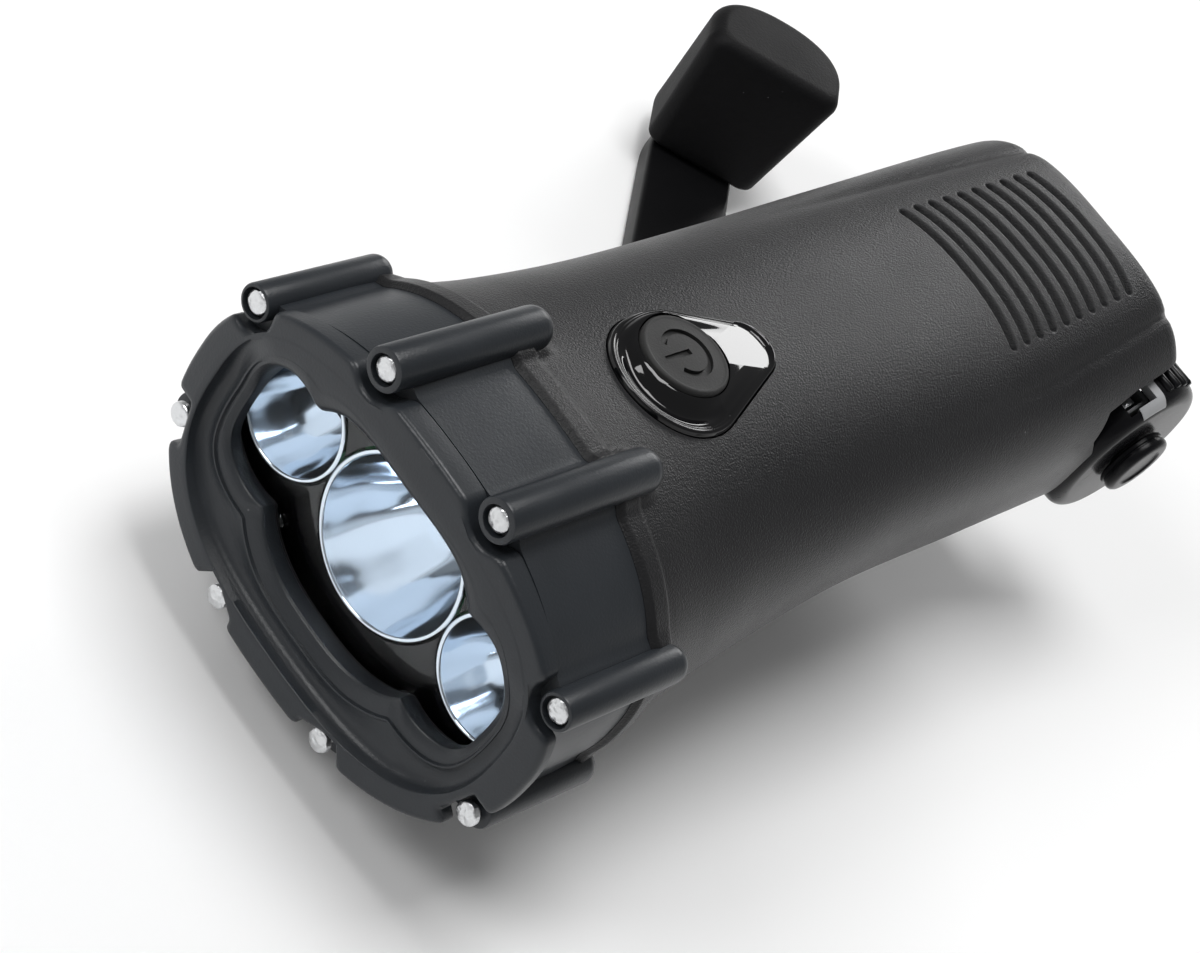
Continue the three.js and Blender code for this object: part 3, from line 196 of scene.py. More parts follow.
def lathe(name, profile, sides=64, smooth=SMOOTH_ANGLE):
    """A body turned about Z from [radius, height] pairs. Ends on the axis close there."""
    vertices, faces, rows = [], [], []
    for radius, height in profile:
        if radius < 1e-6:
            rows.append([len(vertices)] * sides)
            vertices.append((0, 0, height))
        else:
            rows.append(list(range(len(vertices), len(vertices) + sides)))
            for i in range(sides):
                a = 2 * math.pi * i / sides
                vertices.append((radius * math.cos(a), radius * math.sin(a), height))
    for low, high in zip(rows, rows[1:]):
        for i in range(sides):
            j = (i + 1) % sides
            face = list(dict.fromkeys((low[i], low[j], high[j], high[i])))
            if len(face) > 2:
                faces.append(face)
    return make_object(name, vertices, faces, smooth)


def round_cutter(radius, low, high, sides=48):
    return lathe("cut", [(0, low), (radius, low), (radius, high), (0, high)], sides)


def place(obj, matrix):
    obj.data.transform(matrix)
    outward(obj)
    return obj


def moved(x, y, z):
    return Matrix.Translation((x * MM, y * MM, z * MM))


def along_x(x, y, z):
    """Turns a body made about Z so that it points to the front, with its foot at a place."""
    return moved(x, y, z) @ Matrix.Rotation(math.pi / 2, 4, "Y")


def along_y(x, y, z):
    return moved(x, y, z) @ Matrix.Rotation(-math.pi / 2, 4, "X")


def applied(obj):
    """Turns the object's modifiers into its mesh."""
    graph = bpy.context.evaluated_depsgraph_get()
    mesh = bpy.data.meshes.new_from_object(obj.evaluated_get(graph))
    obj.modifiers.clear()
    obj.data = mesh
    return obj


def combined(obj, other, operation="DIFFERENCE", smooth=SMOOTH_ANGLE):
    """Cuts another body out of obj, or adds it, and removes that body."""
    bpy.context.view_layer.update()
    step = obj.modifiers.new("combine", "BOOLEAN")
    step.operation = operation
    step.solver = "EXACT"
    step.object = other
    applied(obj)
    bpy.data.objects.remove(other)
    smooth_by(obj, smooth)
    return obj


def joined(name, parts):
    """Several meshes as one object."""
    work = bmesh.new()
    for part in parts:
        work.from_mesh(part.data)
        bpy.data.objects.remove(part)
    mesh = bpy.data.meshes.new(name)
    work.to_mesh(mesh)
    work.free()
    return new_object(name, mesh)


def bevelled(obj, width, segments=3, angle=40.0):
    step = obj.modifiers.new("edge", "BEVEL")
    step.width = width * MM
    step.segments = segments
    step.limit_method = "ANGLE"
    step.angle_limit = math.radians(angle)
    applied(obj)
    smooth_by(obj, SMOOTH_ANGLE)
    return obj


def prism(name, outline, low, high):
    """An outline of [x, y] pairs raised from one height to another."""
    rings = [np.array([(x, y, z) for x, y in outline]) for z in (low, high)]
    return loft(name, rings)


def boxed(name, low, high):
    """A block between two corners."""
    (x0, y0, z0), (x1, y1, z1) = low, high
    return prism(name, [(x0, y0), (x1, y0), (x1, y1), (x0, y1)], z0, z1)


def dress(obj, body, slot, look, *nodes):
    """Gives a piece its body and named finish, and lets it stand for CAD nodes."""
    obj.data.materials.clear()
    obj.data.materials.append(FINISH[look])
    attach(obj, body)
    if nodes:
        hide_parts(*nodes)
    return obj


# Finishes

def node(tree, kind, **values):
    """A node with values for its inputs or its own settings."""
    made = tree.nodes.new(kind)
    for key, value in values.items():
        if key in made.inputs:
            made.inputs[key].default_value = value
        else:
            setattr(made, key, value)
    return made


def texture(tree, kind, **values):
    """A texture laid out in the object's own coordinates."""
    made = node(tree, "ShaderNodeTex" + kind, **values)
    place_node = node(tree, "ShaderNodeTexCoord")
    tree.links.new(place_node.outputs["Object"], made.inputs["Vector"])
    return made


def ranged(tree, source, to_low, to_high, low=0.0, high=1.0):
    """Maps an output from one range to another and holds it at the ends."""
    limits = {"From Min": low, "From Max": high, "To Min": to_low, "To Max": to_high}
    made = node(tree, "ShaderNodeMapRange", **limits)
    tree.links.new(source, made.inputs["Value"])
    return made.outputs["Result"]


def times(tree, a, b):
    """The product of an output and an output or number."""
    made = node(tree, "ShaderNodeMath", operation="MULTIPLY")
    tree.links.new(a, made.inputs[0])
    if isinstance(b, float):
        made.inputs[1].default_value = b
    else:
        tree.links.new(b, made.inputs[1])
    return made.outputs[0]


def colour_mix(tree, share, first, second):
    """A blend by a share from the first colour, a value or an output, to the second."""
    made = node(tree, "ShaderNodeMix", data_type="RGBA")
    tree.links.new(share, made.inputs[0])
    if isinstance(first, tuple):
        made.inputs[6].default_value = first
    else:
        tree.links.new(first, made.inputs[6])
    made.inputs[7].default_value = second
    return made.outputs[2]


def blank(name):
    """A new material with its node tree and shader."""
    material = bpy.data.materials.new(name)
    material.use_nodes = True
    return material, material.node_tree, material.node_tree.nodes["Principled BSDF"]


def finish(name, colour, roughness, metallic=0.0, grain=0.0, grain_size=0.3, tint=0.15, rough_spread=0.08,
           specular=0.5, speck=0.0):
    """A surface with fine grain in relief, slow changes of colour and roughness, and dust specks."""
    material, tree, shader = blank(name)
    shader.inputs["Metallic"].default_value = metallic
    shader.inputs["Specular IOR Level"].default_value = specular
    slow = texture(tree, "Noise", Scale=90.0, Detail=4.0, Roughness=0.6).outputs["Fac"]
    dark = (*(c * (1 - tint) for c in colour), 1)
    light = (*(min(1, c * (1 + tint)) for c in colour), 1)
    colour_out = colour_mix(tree, slow, dark, light)
    rough = ranged(tree, slow, max(0.02, roughness - rough_spread), min(1.0, roughness + rough_spread))
    tree.links.new(rough, shader.inputs["Roughness"])
    if speck > 0:
        dots = texture(tree, "Voronoi", Scale=330.0).outputs["Distance"]
        where = texture(tree, "Noise", Scale=160.0, Detail=1.0).outputs["Fac"]
        near = ranged(tree, dots, 0.0, 1.0, low=0.055, high=0.03)
        rare = ranged(tree, where, 0.0, 1.0, low=0.60, high=0.66)
        dust = times(tree, times(tree, near, rare), speck)
        colour_out = colour_mix(tree, dust, colour_out, (0.35, 0.35, 0.36, 1))
    tree.links.new(colour_out, shader.inputs["Base Color"])
    if grain > 0:
        fine = texture(tree, "Noise", Scale=1.0 / (grain_size * MM), Detail=2.0, Roughness=0.55)
        bump = node(tree, "ShaderNodeBump", Strength=grain, Distance=grain_size * MM * 0.4)
        tree.links.new(fine.outputs["Fac"], bump.inputs["Height"])
        tree.links.new(bump.outputs["Normal"], shader.inputs["Normal"])
    return material


def glass(name, colour):
    """A thin clear pane that hardly bends light, with slow changes of roughness."""
    material, tree, shader = blank(name)
    shader.inputs["Base Color"].default_value = (*colour, 1)
    shader.inputs["Transmission Weight"].default_value = 1.0
    shader.inputs["IOR"].default_value = 1.12
    slow = texture(tree, "Noise", Scale=60.0, Detail=3.0).outputs["Fac"]
    tree.links.new(ranged(tree, slow, 0.02, 0.05), shader.inputs["Roughness"])
    return material


def lamp_finish(name, colour, strength):
    """A finish that glows."""
    material = finish(name, colour, 0.25)
    shader = material.node_tree.nodes["Principled BSDF"]
    shader.inputs["Emission Color"].default_value = (*colour, 1)
    shader.inputs["Emission Strength"].default_value = strength
    return material


FINISH = {
    "shell": finish("black_grain", (0.014, 0.014, 0.015), 0.36, grain=0.9, grain_size=0.27, specular=0.2,
                    speck=0.35),
    "bezel": finish("black_satin", (0.02, 0.023, 0.027), 0.34, grain=0.22, grain_size=0.35, specular=0.34,
                    speck=0.2),
    "knob": finish("knob_black", (0.005, 0.005, 0.0055), 0.55, grain=0.35, grain_size=0.4, specular=0.1,
                   speck=0.6),
    "arm": finish("arm_black", (0.0035, 0.0035, 0.004), 0.38, grain=0.15, specular=0.14, speck=0.3),
    "gloss": finish("black_gloss", (0.002, 0.002, 0.0025), 0.05, rough_spread=0.02),
    "rubber": finish("pad_rubber", (0.018, 0.018, 0.018), 0.6, grain=0.3, specular=0.3, speck=0.3),
    "drum": finish("drum_satin", (0.005, 0.005, 0.006), 0.25, grain=0.05, specular=0.15, speck=0.2),
    "seal": finish("seal_rubber", (0.012, 0.012, 0.013), 0.7, grain=0.3),
    # Painted reflection: the chrome's blue cast stands in for the bluish glow that the cups mirror, not a
    # tint of the metal.
    "chrome": finish("chrome", (0.8, 0.86, 0.93), 0.1, metallic=1.0, tint=0.03, rough_spread=0.03),
    "stud": finish("stud_metal", (0.66, 0.67, 0.68), 0.3, metallic=1.0, grain=0.5, grain_size=0.5, tint=0.2),
    "steel": finish("zinc_steel", (0.6, 0.61, 0.62), 0.35, metallic=1.0, grain=0.1),
    "copper": finish("winding", (0.62, 0.3, 0.14), 0.4, metallic=0.8, grain=0.4),
    "nylon": finish("nylon", (0.82, 0.79, 0.7), 0.5, grain=0.1, tint=0.04),
    "board": finish("board_green", (0.02, 0.12, 0.04), 0.45, grain=0.2, grain_size=0.5),
    "led": lamp_finish("led_lit", (0.9, 0.95, 1.0), 9.0),
    "wrap": finish("sleeve", (0.04, 0.12, 0.34), 0.3, grain=0.1, grain_size=0.6),
    "grey": finish("socket_grey", (0.33, 0.335, 0.345), 0.35, grain=0.15, tint=0.05),
    "block": finish("block_grey", (0.14, 0.145, 0.15), 0.4, grain=0.2, tint=0.05),
    "lens": glass("clear_lens", (0.97, 0.99, 1.0)),
}


def dress_cad():
    """Gives every CAD object the finish that is named like its slot."""
    for part in frame["record"]["subparts"]:
        obj = frame["nodes"][part["node"]]
        obj.data.materials.clear()
        obj.data.materials.append(FINISH[part["material_slot"]])


# Housing form

def section(depth):
    """The section's values at depths, on the same cubic through the table as the solids."""
    depth = np.atleast_1d(np.asarray(depth, float))
    t, values = SECTIONS[:, 0], SECTIONS[:, 1:]
    last = len(t) - 1
    hi = np.clip(np.searchsorted(t, depth, side="right"), 1, last)
    lo = hi - 1
    before = np.where(lo > 0, lo - 1, hi)
    after = np.where(hi < last, hi + 1, lo)
    half = (t[hi] - t[lo]) / 2
    weight_before = half / (t[lo] - t[before])
    weight_after = half / (t[after] - t[hi])
    p = np.clip((depth - t[lo]) / (t[hi] - t[lo]), 0, 1)
    p2, p3 = p * p, p * p * p
    s_before = -weight_before * p3 + 2 * weight_before * p2 - weight_before * p
    s_lo = (1 + weight_before) * p3 + (-1.5 - 2 * weight_before) * p2 + (-0.5 + weight_before) * p + 1
    s_hi = (-1 - weight_after) * p3 + (1.5 + weight_after) * p2 + 0.5 * p
    s_after = weight_after * p3 - weight_after * p2
    return (s_before[:, None] * values[before] + s_lo[:, None] * values[lo]
            + s_hi[:, None] * values[hi] + s_after[:, None] * values[after])


def smooth_step(x, low, high):
    t = np.clip((x - low) / (high - low), 0, 1)
    return t * t * (3 - 2 * t)


def form_grid(rows, angles):
    """Points of the housing form, rows by angles. Each row is depth, inset and scale."""
    rows = np.array(rows, float)
    half, middle, up, down, square = section(rows[:, 0]).T
    inset, scale = rows[:, 1], rows[:, 2]
    c, s = np.cos(angles)[None, :], np.sin(angles)[None, :]
    height = np.where(s > 0, (up - inset)[:, None], (down - inset)[:, None])
    width = (half - inset)[:, None]
    power = square[:, None]
    reach = (np.abs(c / width) ** power + np.abs(s / height) ** power) ** (-1 / power) * scale[:, None]
    y, z = reach * c, reach * s
    share = smooth_step(rows[:, 0], SAG_START, BODY_LENGTH)[:, None]
    sag = TAIL_SAG * share * (y / SECTIONS[-1, 1]) ** 2
    x = FRONT_X - rows[:, 0][:, None] + sag
    return np.stack([x, y, AXIS_Z + middle[:, None] + z], axis=-1)


def grid_normals(points):
    """Unit normals of a grid that closes round its second axis."""
    across = np.roll(points, -1, axis=1) - np.roll(points, 1, axis=1)
    down = np.gradient(points, axis=0)
    normal = np.cross(down, across)
    normal /= np.maximum(np.linalg.norm(normal, axis=2, keepdims=True), 1e-9)
    centre = points.mean(axis=1, keepdims=True)
    flip = np.sign(np.sum(normal * (points - centre), axis=(1, 2), keepdims=True))
    return normal * np.where(flip == 0, 1, flip)


def rod_places():
    """Centre, end, radius and front of the eight rods, the upper four reaching the front."""
    found = []
    for sy, sz, kind in ((-1, 1, ROD_OUTER), (-1, 1, ROD_INNER), (1, 1, ROD_INNER), (1, 1, ROD_OUTER),
                         (1, -1, ROD_OUTER), (1, -1, ROD_INNER), (-1, -1, ROD_INNER), (-1, -1, ROD_OUTER)):
        y = sy * kind["y"]
        bow = RIM_BOW * (y / ROD_BOW_Y) ** 2
        front = ROD_FRONT + bow if sz > 0 else RIM_THICK + GAP
        found.append(dict(y=y, z=sz * kind["z"], end=kind["end"], radius=kind["radius"], front=front,
                          upper=sz > 0, stud=ROD_FRONT + bow))
    return found


def rod_fillets(points, normals):
    """Raises the skin beside each rod, as a soft web that runs out behind the rod's end."""
    lift = np.zeros(points.shape[:2])
    depth = FRONT_X - points[..., 0]
    for rod in rod_places():
        aside = np.hypot(points[..., 1] - rod["y"], points[..., 2] - AXIS_Z - rod["z"]) - rod["radius"]
        past = np.clip(depth - (rod["end"] - WEB["before_end"]), 0, None)
        beside = np.exp(-(np.clip(aside, 0, None) / WEB["width"]) ** 2)
        lift = np.maximum(lift, WEB["lift"] * beside * np.exp(-(past / WEB["run"]) ** 2))
    return points + normals * lift[..., None]


def full_turn(count):
    return np.linspace(0, 2 * math.pi, count, endpoint=False)


def top_dense_angles():
    """Angles round the section, closer together over the roof."""
    low, high = math.radians(48), math.radians(132)
    return np.concatenate([np.linspace(low, high, 170, endpoint=False),
                           np.linspace(high, low + 2 * math.pi, 170, endpoint=False)])


def groove_depth(points):
    """How far the grip grooves sink the roof. They bow towards the tail at their middles."""
    g = GROOVES
    sunk = np.zeros(points.shape[:2])
    roof = points[..., 2] > AXIS_Z + g["lowest"]
    for i in range(g["count"]):
        share = i / (g["count"] - 1)
        centre = FRONT_X - (g["first"] + (g["last"] - g["first"]) * share)
        half = g["half_first"] + (g["half_last"] - g["half_first"]) * share
        bow = g["bow"] * (1 / 3 - (points[..., 1] / half) ** 2)
        past_end = np.clip(np.abs(points[..., 1]) - half + g["radius"], 0, None)
        away = np.hypot(points[..., 0] + bow - centre, past_end)
        low, high = (g["radius"] * part for part in g["wall"])
        sunk = np.maximum(sunk, g["cut"] * (1 - smooth_step(away, low, high)))
    return np.where(roof, sunk, 0)


def pear_distance(x, y):
    """Signed distance to the pear outline in plan, negative inside."""
    wide, narrow, length = PEAR["wide"], PEAR["narrow"], PEAR["length"]
    aside = np.abs(y)
    along = PEAR["x"] - x
    lean = (wide - narrow) / length
    slope = math.sqrt(1 - lean * lean)
    k = slope * along - lean * aside
    straight = aside * slope + along * lean - wide
    return np.where(k < 0, np.hypot(aside, along) - wide,
                    np.where(k > slope * length, np.hypot(aside, along - length) - narrow, straight))


def crease_depth(points):
    """The shallow valley beside each edge of the roof, growing to the tail."""
    depth = FRONT_X - points[..., 0]
    line_y = np.interp(depth, CREASE["depth"], CREASE["y"])
    line_z = np.interp(depth, CREASE["depth"], CREASE["z"])
    away = np.hypot(np.abs(points[..., 1]) - line_y, (points[..., 2] - AXIS_Z - line_z) * 0.6)
    amount = smooth_step(depth, CREASE["depth"][0], CREASE["full"])
    return amount * (0.42 * np.exp(-(away / 0.55) ** 2) + 0.3 * np.exp(-(away / 1.9) ** 2))


def make_body():
    """Both half shells as one skin, open at the front round the lamps."""
    depths = np.concatenate([np.arange(*span) for span in BODY_ROWS])
    rows = [(depth, 0, 1) for depth in depths]
    for t in np.linspace(0, math.pi / 2, 9):
        rows.append((BODY_LENGTH - TAIL_EDGE * (1 - math.sin(t)), TAIL_EDGE * (1 - math.cos(t)), 1))
    rows += [(BODY_LENGTH, TAIL_EDGE, scale) for scale in (0.9, 0.75, 0.5, 0.25, 0.02)]
    angles = top_dense_angles()
    points = form_grid(rows, angles)
    normals = grid_normals(points)
    depth = FRONT_X - points[..., 0]
    rise = COLLAR_RISE * (1 - smooth_step(depth, COLLAR_END - 1.2, COLLAR_END))
    rise -= 0.95 * COLLAR_RISE * (1 - smooth_step(depth, HEAD_DEPTH - 0.1, HEAD_DEPTH + 0.9))
    points = points + normals * rise[..., None]
    points = points - normals * (groove_depth(points) + crease_depth(points))[..., None]
    points = rod_fillets(points, normals)
    points[..., 2] = np.minimum(points[..., 2], cad_box[1][2] / MM - 0.01)
    room = form_grid([(LAMP_ROOM, HEAD_WALL, scale) for scale in (0.02, 0.5, 1)]
                     + [(HEAD_DEPTH + 0.01, HEAD_WALL, 1)], angles)
    body = loft("body_skin", list(room) + list(points), smooth=40)
    boss = lathe("boss", [(0, 7.5), (11.0, 7.5), (11.2, 7.8), (13.0, 15.6), (0, 15.6)], 96)
    combined(body, boss, "UNION", smooth=40)
    x, y = pear_outline(0.15, 96)
    for cutter in [tail_cutter(), prism("cut", list(zip(x, y)), 44, 60)] + under_cutters():
        combined(body, cutter, smooth=40)
    dress(body, "housing", "shell", "shell", "top_shell", "bottom_shell")


def under_cutters():
    """The shaft's hole, the four sunk screw holes, and the groove where the half shells meet."""
    cutters = [round_cutter(SHAFT_HOLE, -1, 17)]
    for x, y, foot in CASE_SCREWS:
        cutters.append(place(round_cutter(SCREW_SINK, -4, 2.4, 32), moved(x, y, foot)))
    depths = np.linspace(HEAD_DEPTH + 1.2, BODY_LENGTH - 0.2, 120)
    half, middle, up, down, square = section(depths).T
    height = PARTING_Z - AXIS_Z
    level = (height - middle) / np.where(height > middle, up, down)
    width = half * (1 - np.abs(level) ** square) ** (1 / square)
    past = np.clip(depths - BODY_LENGTH + TAIL_EDGE, 0, None)
    width = width - (TAIL_EDGE - np.sqrt(TAIL_EDGE ** 2 - past ** 2))
    sag = TAIL_SAG * smooth_step(depths, SAG_START, BODY_LENGTH) * (width / SECTIONS[-1, 1]) ** 2
    for side in (-1, 1):
        outer = list(zip(FRONT_X - depths + sag, side * (width + SEAM_REACH)))
        inner = [(x, y - side * (SEAM_REACH + SEAM_SINK)) for x, y in outer]
        cutters.append(prism("cut", outer + inner[::-1], PARTING_Z - SEAM_HALF, PARTING_Z + SEAM_HALF))
    return cutters


def pear_outline(grow, count):
    """Points of the pear outline in plan, grown all round."""
    wide, narrow, length = PEAR["wide"] + grow, PEAR["narrow"] + grow, PEAR["length"]
    lean = math.acos((wide - narrow) / length)
    big = np.linspace(-(math.pi - lean), math.pi - lean, count * 2 // 3)
    small = np.linspace(math.pi - lean, math.pi + lean, count // 3)
    x = np.concatenate([PEAR["x"] + wide * np.cos(big), PEAR["x"] - length + narrow * np.cos(small[1:-1])])
    y = np.concatenate([wide * np.sin(big), narrow * np.sin(small[1:-1])])
    return x, y


def tail_cutter():
    """The room for the drum in the lower near corner of the tail."""
    outline = [(FRONT_X - d, AXIS_Z + z) for d, z in RECESS_OUTLINE]
    corner = loft("cut", [np.array([(x, y, z) for x, z in outline]) for y in (RECESS_Y, 60)])
    pocket = round_cutter(POCKET_RADIUS, 0, 44, 96)
    return combined(corner, place(pocket, along_y(DRUM_X, RECESS_Y, DRUM_Z)), "UNION")


def make_head():
    """The head ring with its eight rods, which are hollow in front where they hold a stud."""
    front, back = RIM_THICK + 0.02, HEAD_DEPTH - 0.01
    angles = full_turn(320)
    points = form_grid([(d, 0, 1) for d in np.linspace(front, back, 40)], angles)
    points = rod_fillets(points, grid_normals(points))
    inside = form_grid([(back, HEAD_WALL, 1), (front, HEAD_WALL, 1)], angles)
    parts = [loft("head", list(points) + list(inside), closed=True, smooth=40)]
    for rod in rod_places():
        r, length = rod["radius"], rod["end"] - rod["front"]
        profile = [(0, 0)]
        profile += [(r * math.sin(t), r * 0.9 * (1 - math.cos(t)))
                    for t in np.linspace(0.15, math.pi / 2, 10)]
        profile += [(r, length - ROD_EDGE), (r - ROD_EDGE * 0.3, length - ROD_EDGE * 0.3),
                    (r - ROD_EDGE, length)]
        if rod["upper"]:
            profile += [(STUD_RADIUS + 0.35, length), (STUD_RADIUS + 0.3, length - 1.2)]
        profile += [(0, profile[-1][1])]
        foot = along_x(FRONT_X - rod["end"], rod["y"], AXIS_Z + rod["z"])
        parts.append(place(lathe("rod", profile, 48), foot))
    dress(joined("head_skin", parts), "housing", "shell", "bezel", "head_shell")


# Front ring

def oval_reach(angles, oval):
    """Reach of an oval whose upper and lower halves have their own height and power."""
    c, sn = np.cos(angles), np.sin(angles)
    height = np.where(sn > 0, oval["up"], oval["down"])
    power = np.where(sn > 0, oval["sq_up"], oval["sq_down"])
    return (np.abs(c / oval["half"]) ** power + np.abs(sn / height) ** power) ** (-1 / power)


def lobed_reach(angles, grow=0.0):
    """The three-lobed outline of the lamp opening: a wide middle lobe and a round one on each side."""
    c, sn = np.cos(angles), np.sin(angles)
    power, side_y = LOBES["power"], LOBES["side_y"]
    middle = (np.abs(c / (LOBES["half"] + grow)) ** power
              + np.abs(sn / (LOBES["up"] + grow)) ** power) ** (-1 / power)
    root = (LOBES["side_radius"] + grow) ** 2 - (side_y * sn) ** 2
    side = side_y * np.abs(c) + np.sqrt(np.clip(root, 0, None))
    return soft_max(middle, np.where(root > 0, side, 0), LOBES["blend"])


def soft_max(a, b, width):
    """The larger of two values, rounded where they are closer than the width."""
    h = np.clip(width - np.abs(a - b), 0, None) / width
    return np.maximum(a, b) + h * h * width / 4


def soft_min(a, b, width):
    return -soft_max(-a, -b, width)


def rim_field(y, z):
    """Signed distance, about, to the rim's outline with its eight notches, negative inside."""
    angles = np.arctan2(z, y)
    field = np.hypot(y, z) - oval_reach(angles, RIM)
    for rod in rod_places():
        lean = math.atan2(rod["z"], rod["y"])
        along = -(y - rod["y"]) * math.sin(lean) + (z - rod["z"]) * math.cos(lean)
        out = (y - rod["y"]) * math.cos(lean) + (z - rod["z"]) * math.sin(lean)
        if rod["upper"]:
            notch = np.hypot(along, out) - (rod["radius"] + NOTCH["room"])
        else:
            corner, length = NOTCH["corner"], NOTCH["length"]
            qx = np.abs(along) - NOTCH["half"] + corner
            qy = np.abs(out - length) - (length + NOTCH["floor"]) + corner
            notch = np.hypot(np.clip(qx, 0, None), np.clip(qy, 0, None)) - corner
            notch = notch + np.minimum(np.maximum(qx, qy), 0)
        field = soft_max(field, -notch, NOTCH["blend"])
    return field


def rim_reach(angles, inset=0.0):
    """Reach of the rim's outline, drawn in by an inset, found by halving."""
    low, high = np.full(len(angles), 20.0), np.full(len(angles), 40.0)
    c, sn = np.cos(angles), np.sin(angles)
    for _ in range(26):
        middle = (low + high) / 2
        inside = rim_field(middle * c, middle * sn) < -inset
        low, high = np.where(inside, middle, low), np.where(inside, high, middle)
    return low


def ring_at(depth, angles, reach, bow=1.0):
    """A ring of the front: the bow share bends it back with the rim."""
    y, z = reach * np.cos(angles), reach * np.sin(angles)
    x = FRONT_X - depth - bow * RIM_BOW * (y / ROD_BOW_Y) ** 2
    return np.stack([x, y, AXIS_Z + z], axis=-1)


def make_bezel():
    """The front ring: a bowed rim, then two slopes to the lobed mouth. Its upper half has a round brow."""
    angles = full_turn(960)
    upper = smooth_step(np.sin(angles), -0.05, 0.4)
    mouth = oval_reach(angles, MOUTH)
    outer = np.maximum(rim_reach(angles, RIM_EDGE), mouth + 0.45)
    wave = soft_min(lobed_reach(angles, 2.3), mouth - 2.6, 1.2)
    inner = soft_min(lobed_reach(angles), mouth - 4.2, 1.2)
    collar = np.maximum(oval_reach(angles, COLLAR), inner + 0.6)

    def sloped(depth, reach, bow):
        """A ring whose lower half has its own depth and whose upper half follows the brow."""
        share = np.clip((mouth + 0.3 - reach) / (mouth + 0.3 - inner), 0, 1)
        brow = BROW_DROP * (1 - (1 - share ** 4) ** 0.25)
        return ring_at(depth + (brow - depth) * upper, angles, reach, bow + (1 - bow) * 0.5 * upper)

    rings = [ring_at(RIM_THICK, angles, rim_reach(angles, 0.12), 0.0),
             ring_at(RIM_THICK - 0.12, angles, rim_reach(angles, 0.02), 0.1)]
    for t in np.linspace(0, math.pi / 2, 7)[:-1]:
        reach = rim_reach(angles, RIM_EDGE * (1 - math.cos(t)))
        rings.append(ring_at(RIM_EDGE * (1 - math.sin(t)), angles, reach))
    rings += [ring_at(0, angles, outer + (mouth + 0.25 - outer) * share) for share in (0, 0.35, 0.7)]
    rings += [sloped(depth, mouth + past, 1) for depth, past in ((0, 0.2), (0.05, 0.07), (0.15, -0.02))]
    rings += [sloped(depth, mouth + (wave - mouth) * share, 0.9) for share, depth in COVE]
    rings += [sloped(depth, wave + past, 0.85)
              for depth, past in ((2.22, 0.12), (2.24, -0.12), (2.62, -0.3))]
    rings += [sloped(depth, wave - 0.3 + (inner + 0.1 - wave + 0.3) * share, 0.6)
              for share, depth in INNER_SLOPE]
    rings += [sloped(depth, inner + past, 0.5) for depth, past in ((3.65, 0.12), (3.75, 0.03))]
    rings += [ring_at(4.1, angles, inner, 0.4), ring_at(COLLAR_DEPTH - 0.3, angles, inner, 0.0),
              ring_at(COLLAR_DEPTH, angles, inner + 0.3, 0.0), ring_at(COLLAR_DEPTH, angles, collar, 0.0),
              ring_at(RIM_THICK + 0.2, angles, collar, 0.0)]
    bezel = loft("bezel_ring", rings, closed=True, smooth=32)
    dress(bezel, "housing", "shell", "bezel", "bezel")


def make_studs():
    """Rough cast heads on plain shanks, no two turned alike."""
    crown = SHANK_LENGTH + 0.6
    for number, rod in enumerate(rod_places(), start=1):
        profile = [(0, 0), (SHANK_RADIUS, 0), (SHANK_RADIUS, SHANK_LENGTH),
                   (STUD_RADIUS, SHANK_LENGTH + 0.05), (STUD_RADIUS, crown)]
        profile += [(STUD_RADIUS * math.cos(t), crown + 0.45 * math.sin(t))
                    for t in np.linspace(0.25, 1.3, 9)]
        profile += [(0.2, STUD_TOP), (0, STUD_TOP)]
        stud = lathe("stud_%d" % number, profile, 28, smooth=12)
        for vertex in stud.data.vertices:
            if vertex.co.z > (SHANK_LENGTH + 0.2) * MM:
                rough = noise.noise(vertex.co * 1500 + Vector((number * 7.3, 0, 0)))
                vertex.co += vertex.co.normalized() * rough * 0.16 * MM
                side = Vector((vertex.co.x, vertex.co.y, 0))
                vertex.co -= side * max(0.0, rough) * 0.12
        place(stud, along_x(FRONT_X - rod["stud"] - STUD_FOOT, rod["y"], AXIS_Z + rod["z"]))
        dress(stud, "housing", "steel", "stud", "bezel_screw_%d" % number)


# Lamp

def oval_plate(name, front, back, edge, hole=None):
    """A plate of the pane's outline between two depths, with soft edges. The hole is a grown lobed one."""
    angles = full_turn(360)
    reach = oval_reach(angles, PANE)
    rings = [ring_at(front, angles, reach - edge, 0), ring_at(front + edge, angles, reach, 0),
             ring_at(back - edge, angles, reach, 0), ring_at(back, angles, reach - edge, 0)]
    if hole is None:
        return loft(name, rings, smooth=32)
    inner = lobed_reach(angles, hole)
    rings += [ring_at(back, angles, inner, 0), ring_at(front, angles, inner, 0)]
    return loft(name, rings, closed=True, smooth=32)


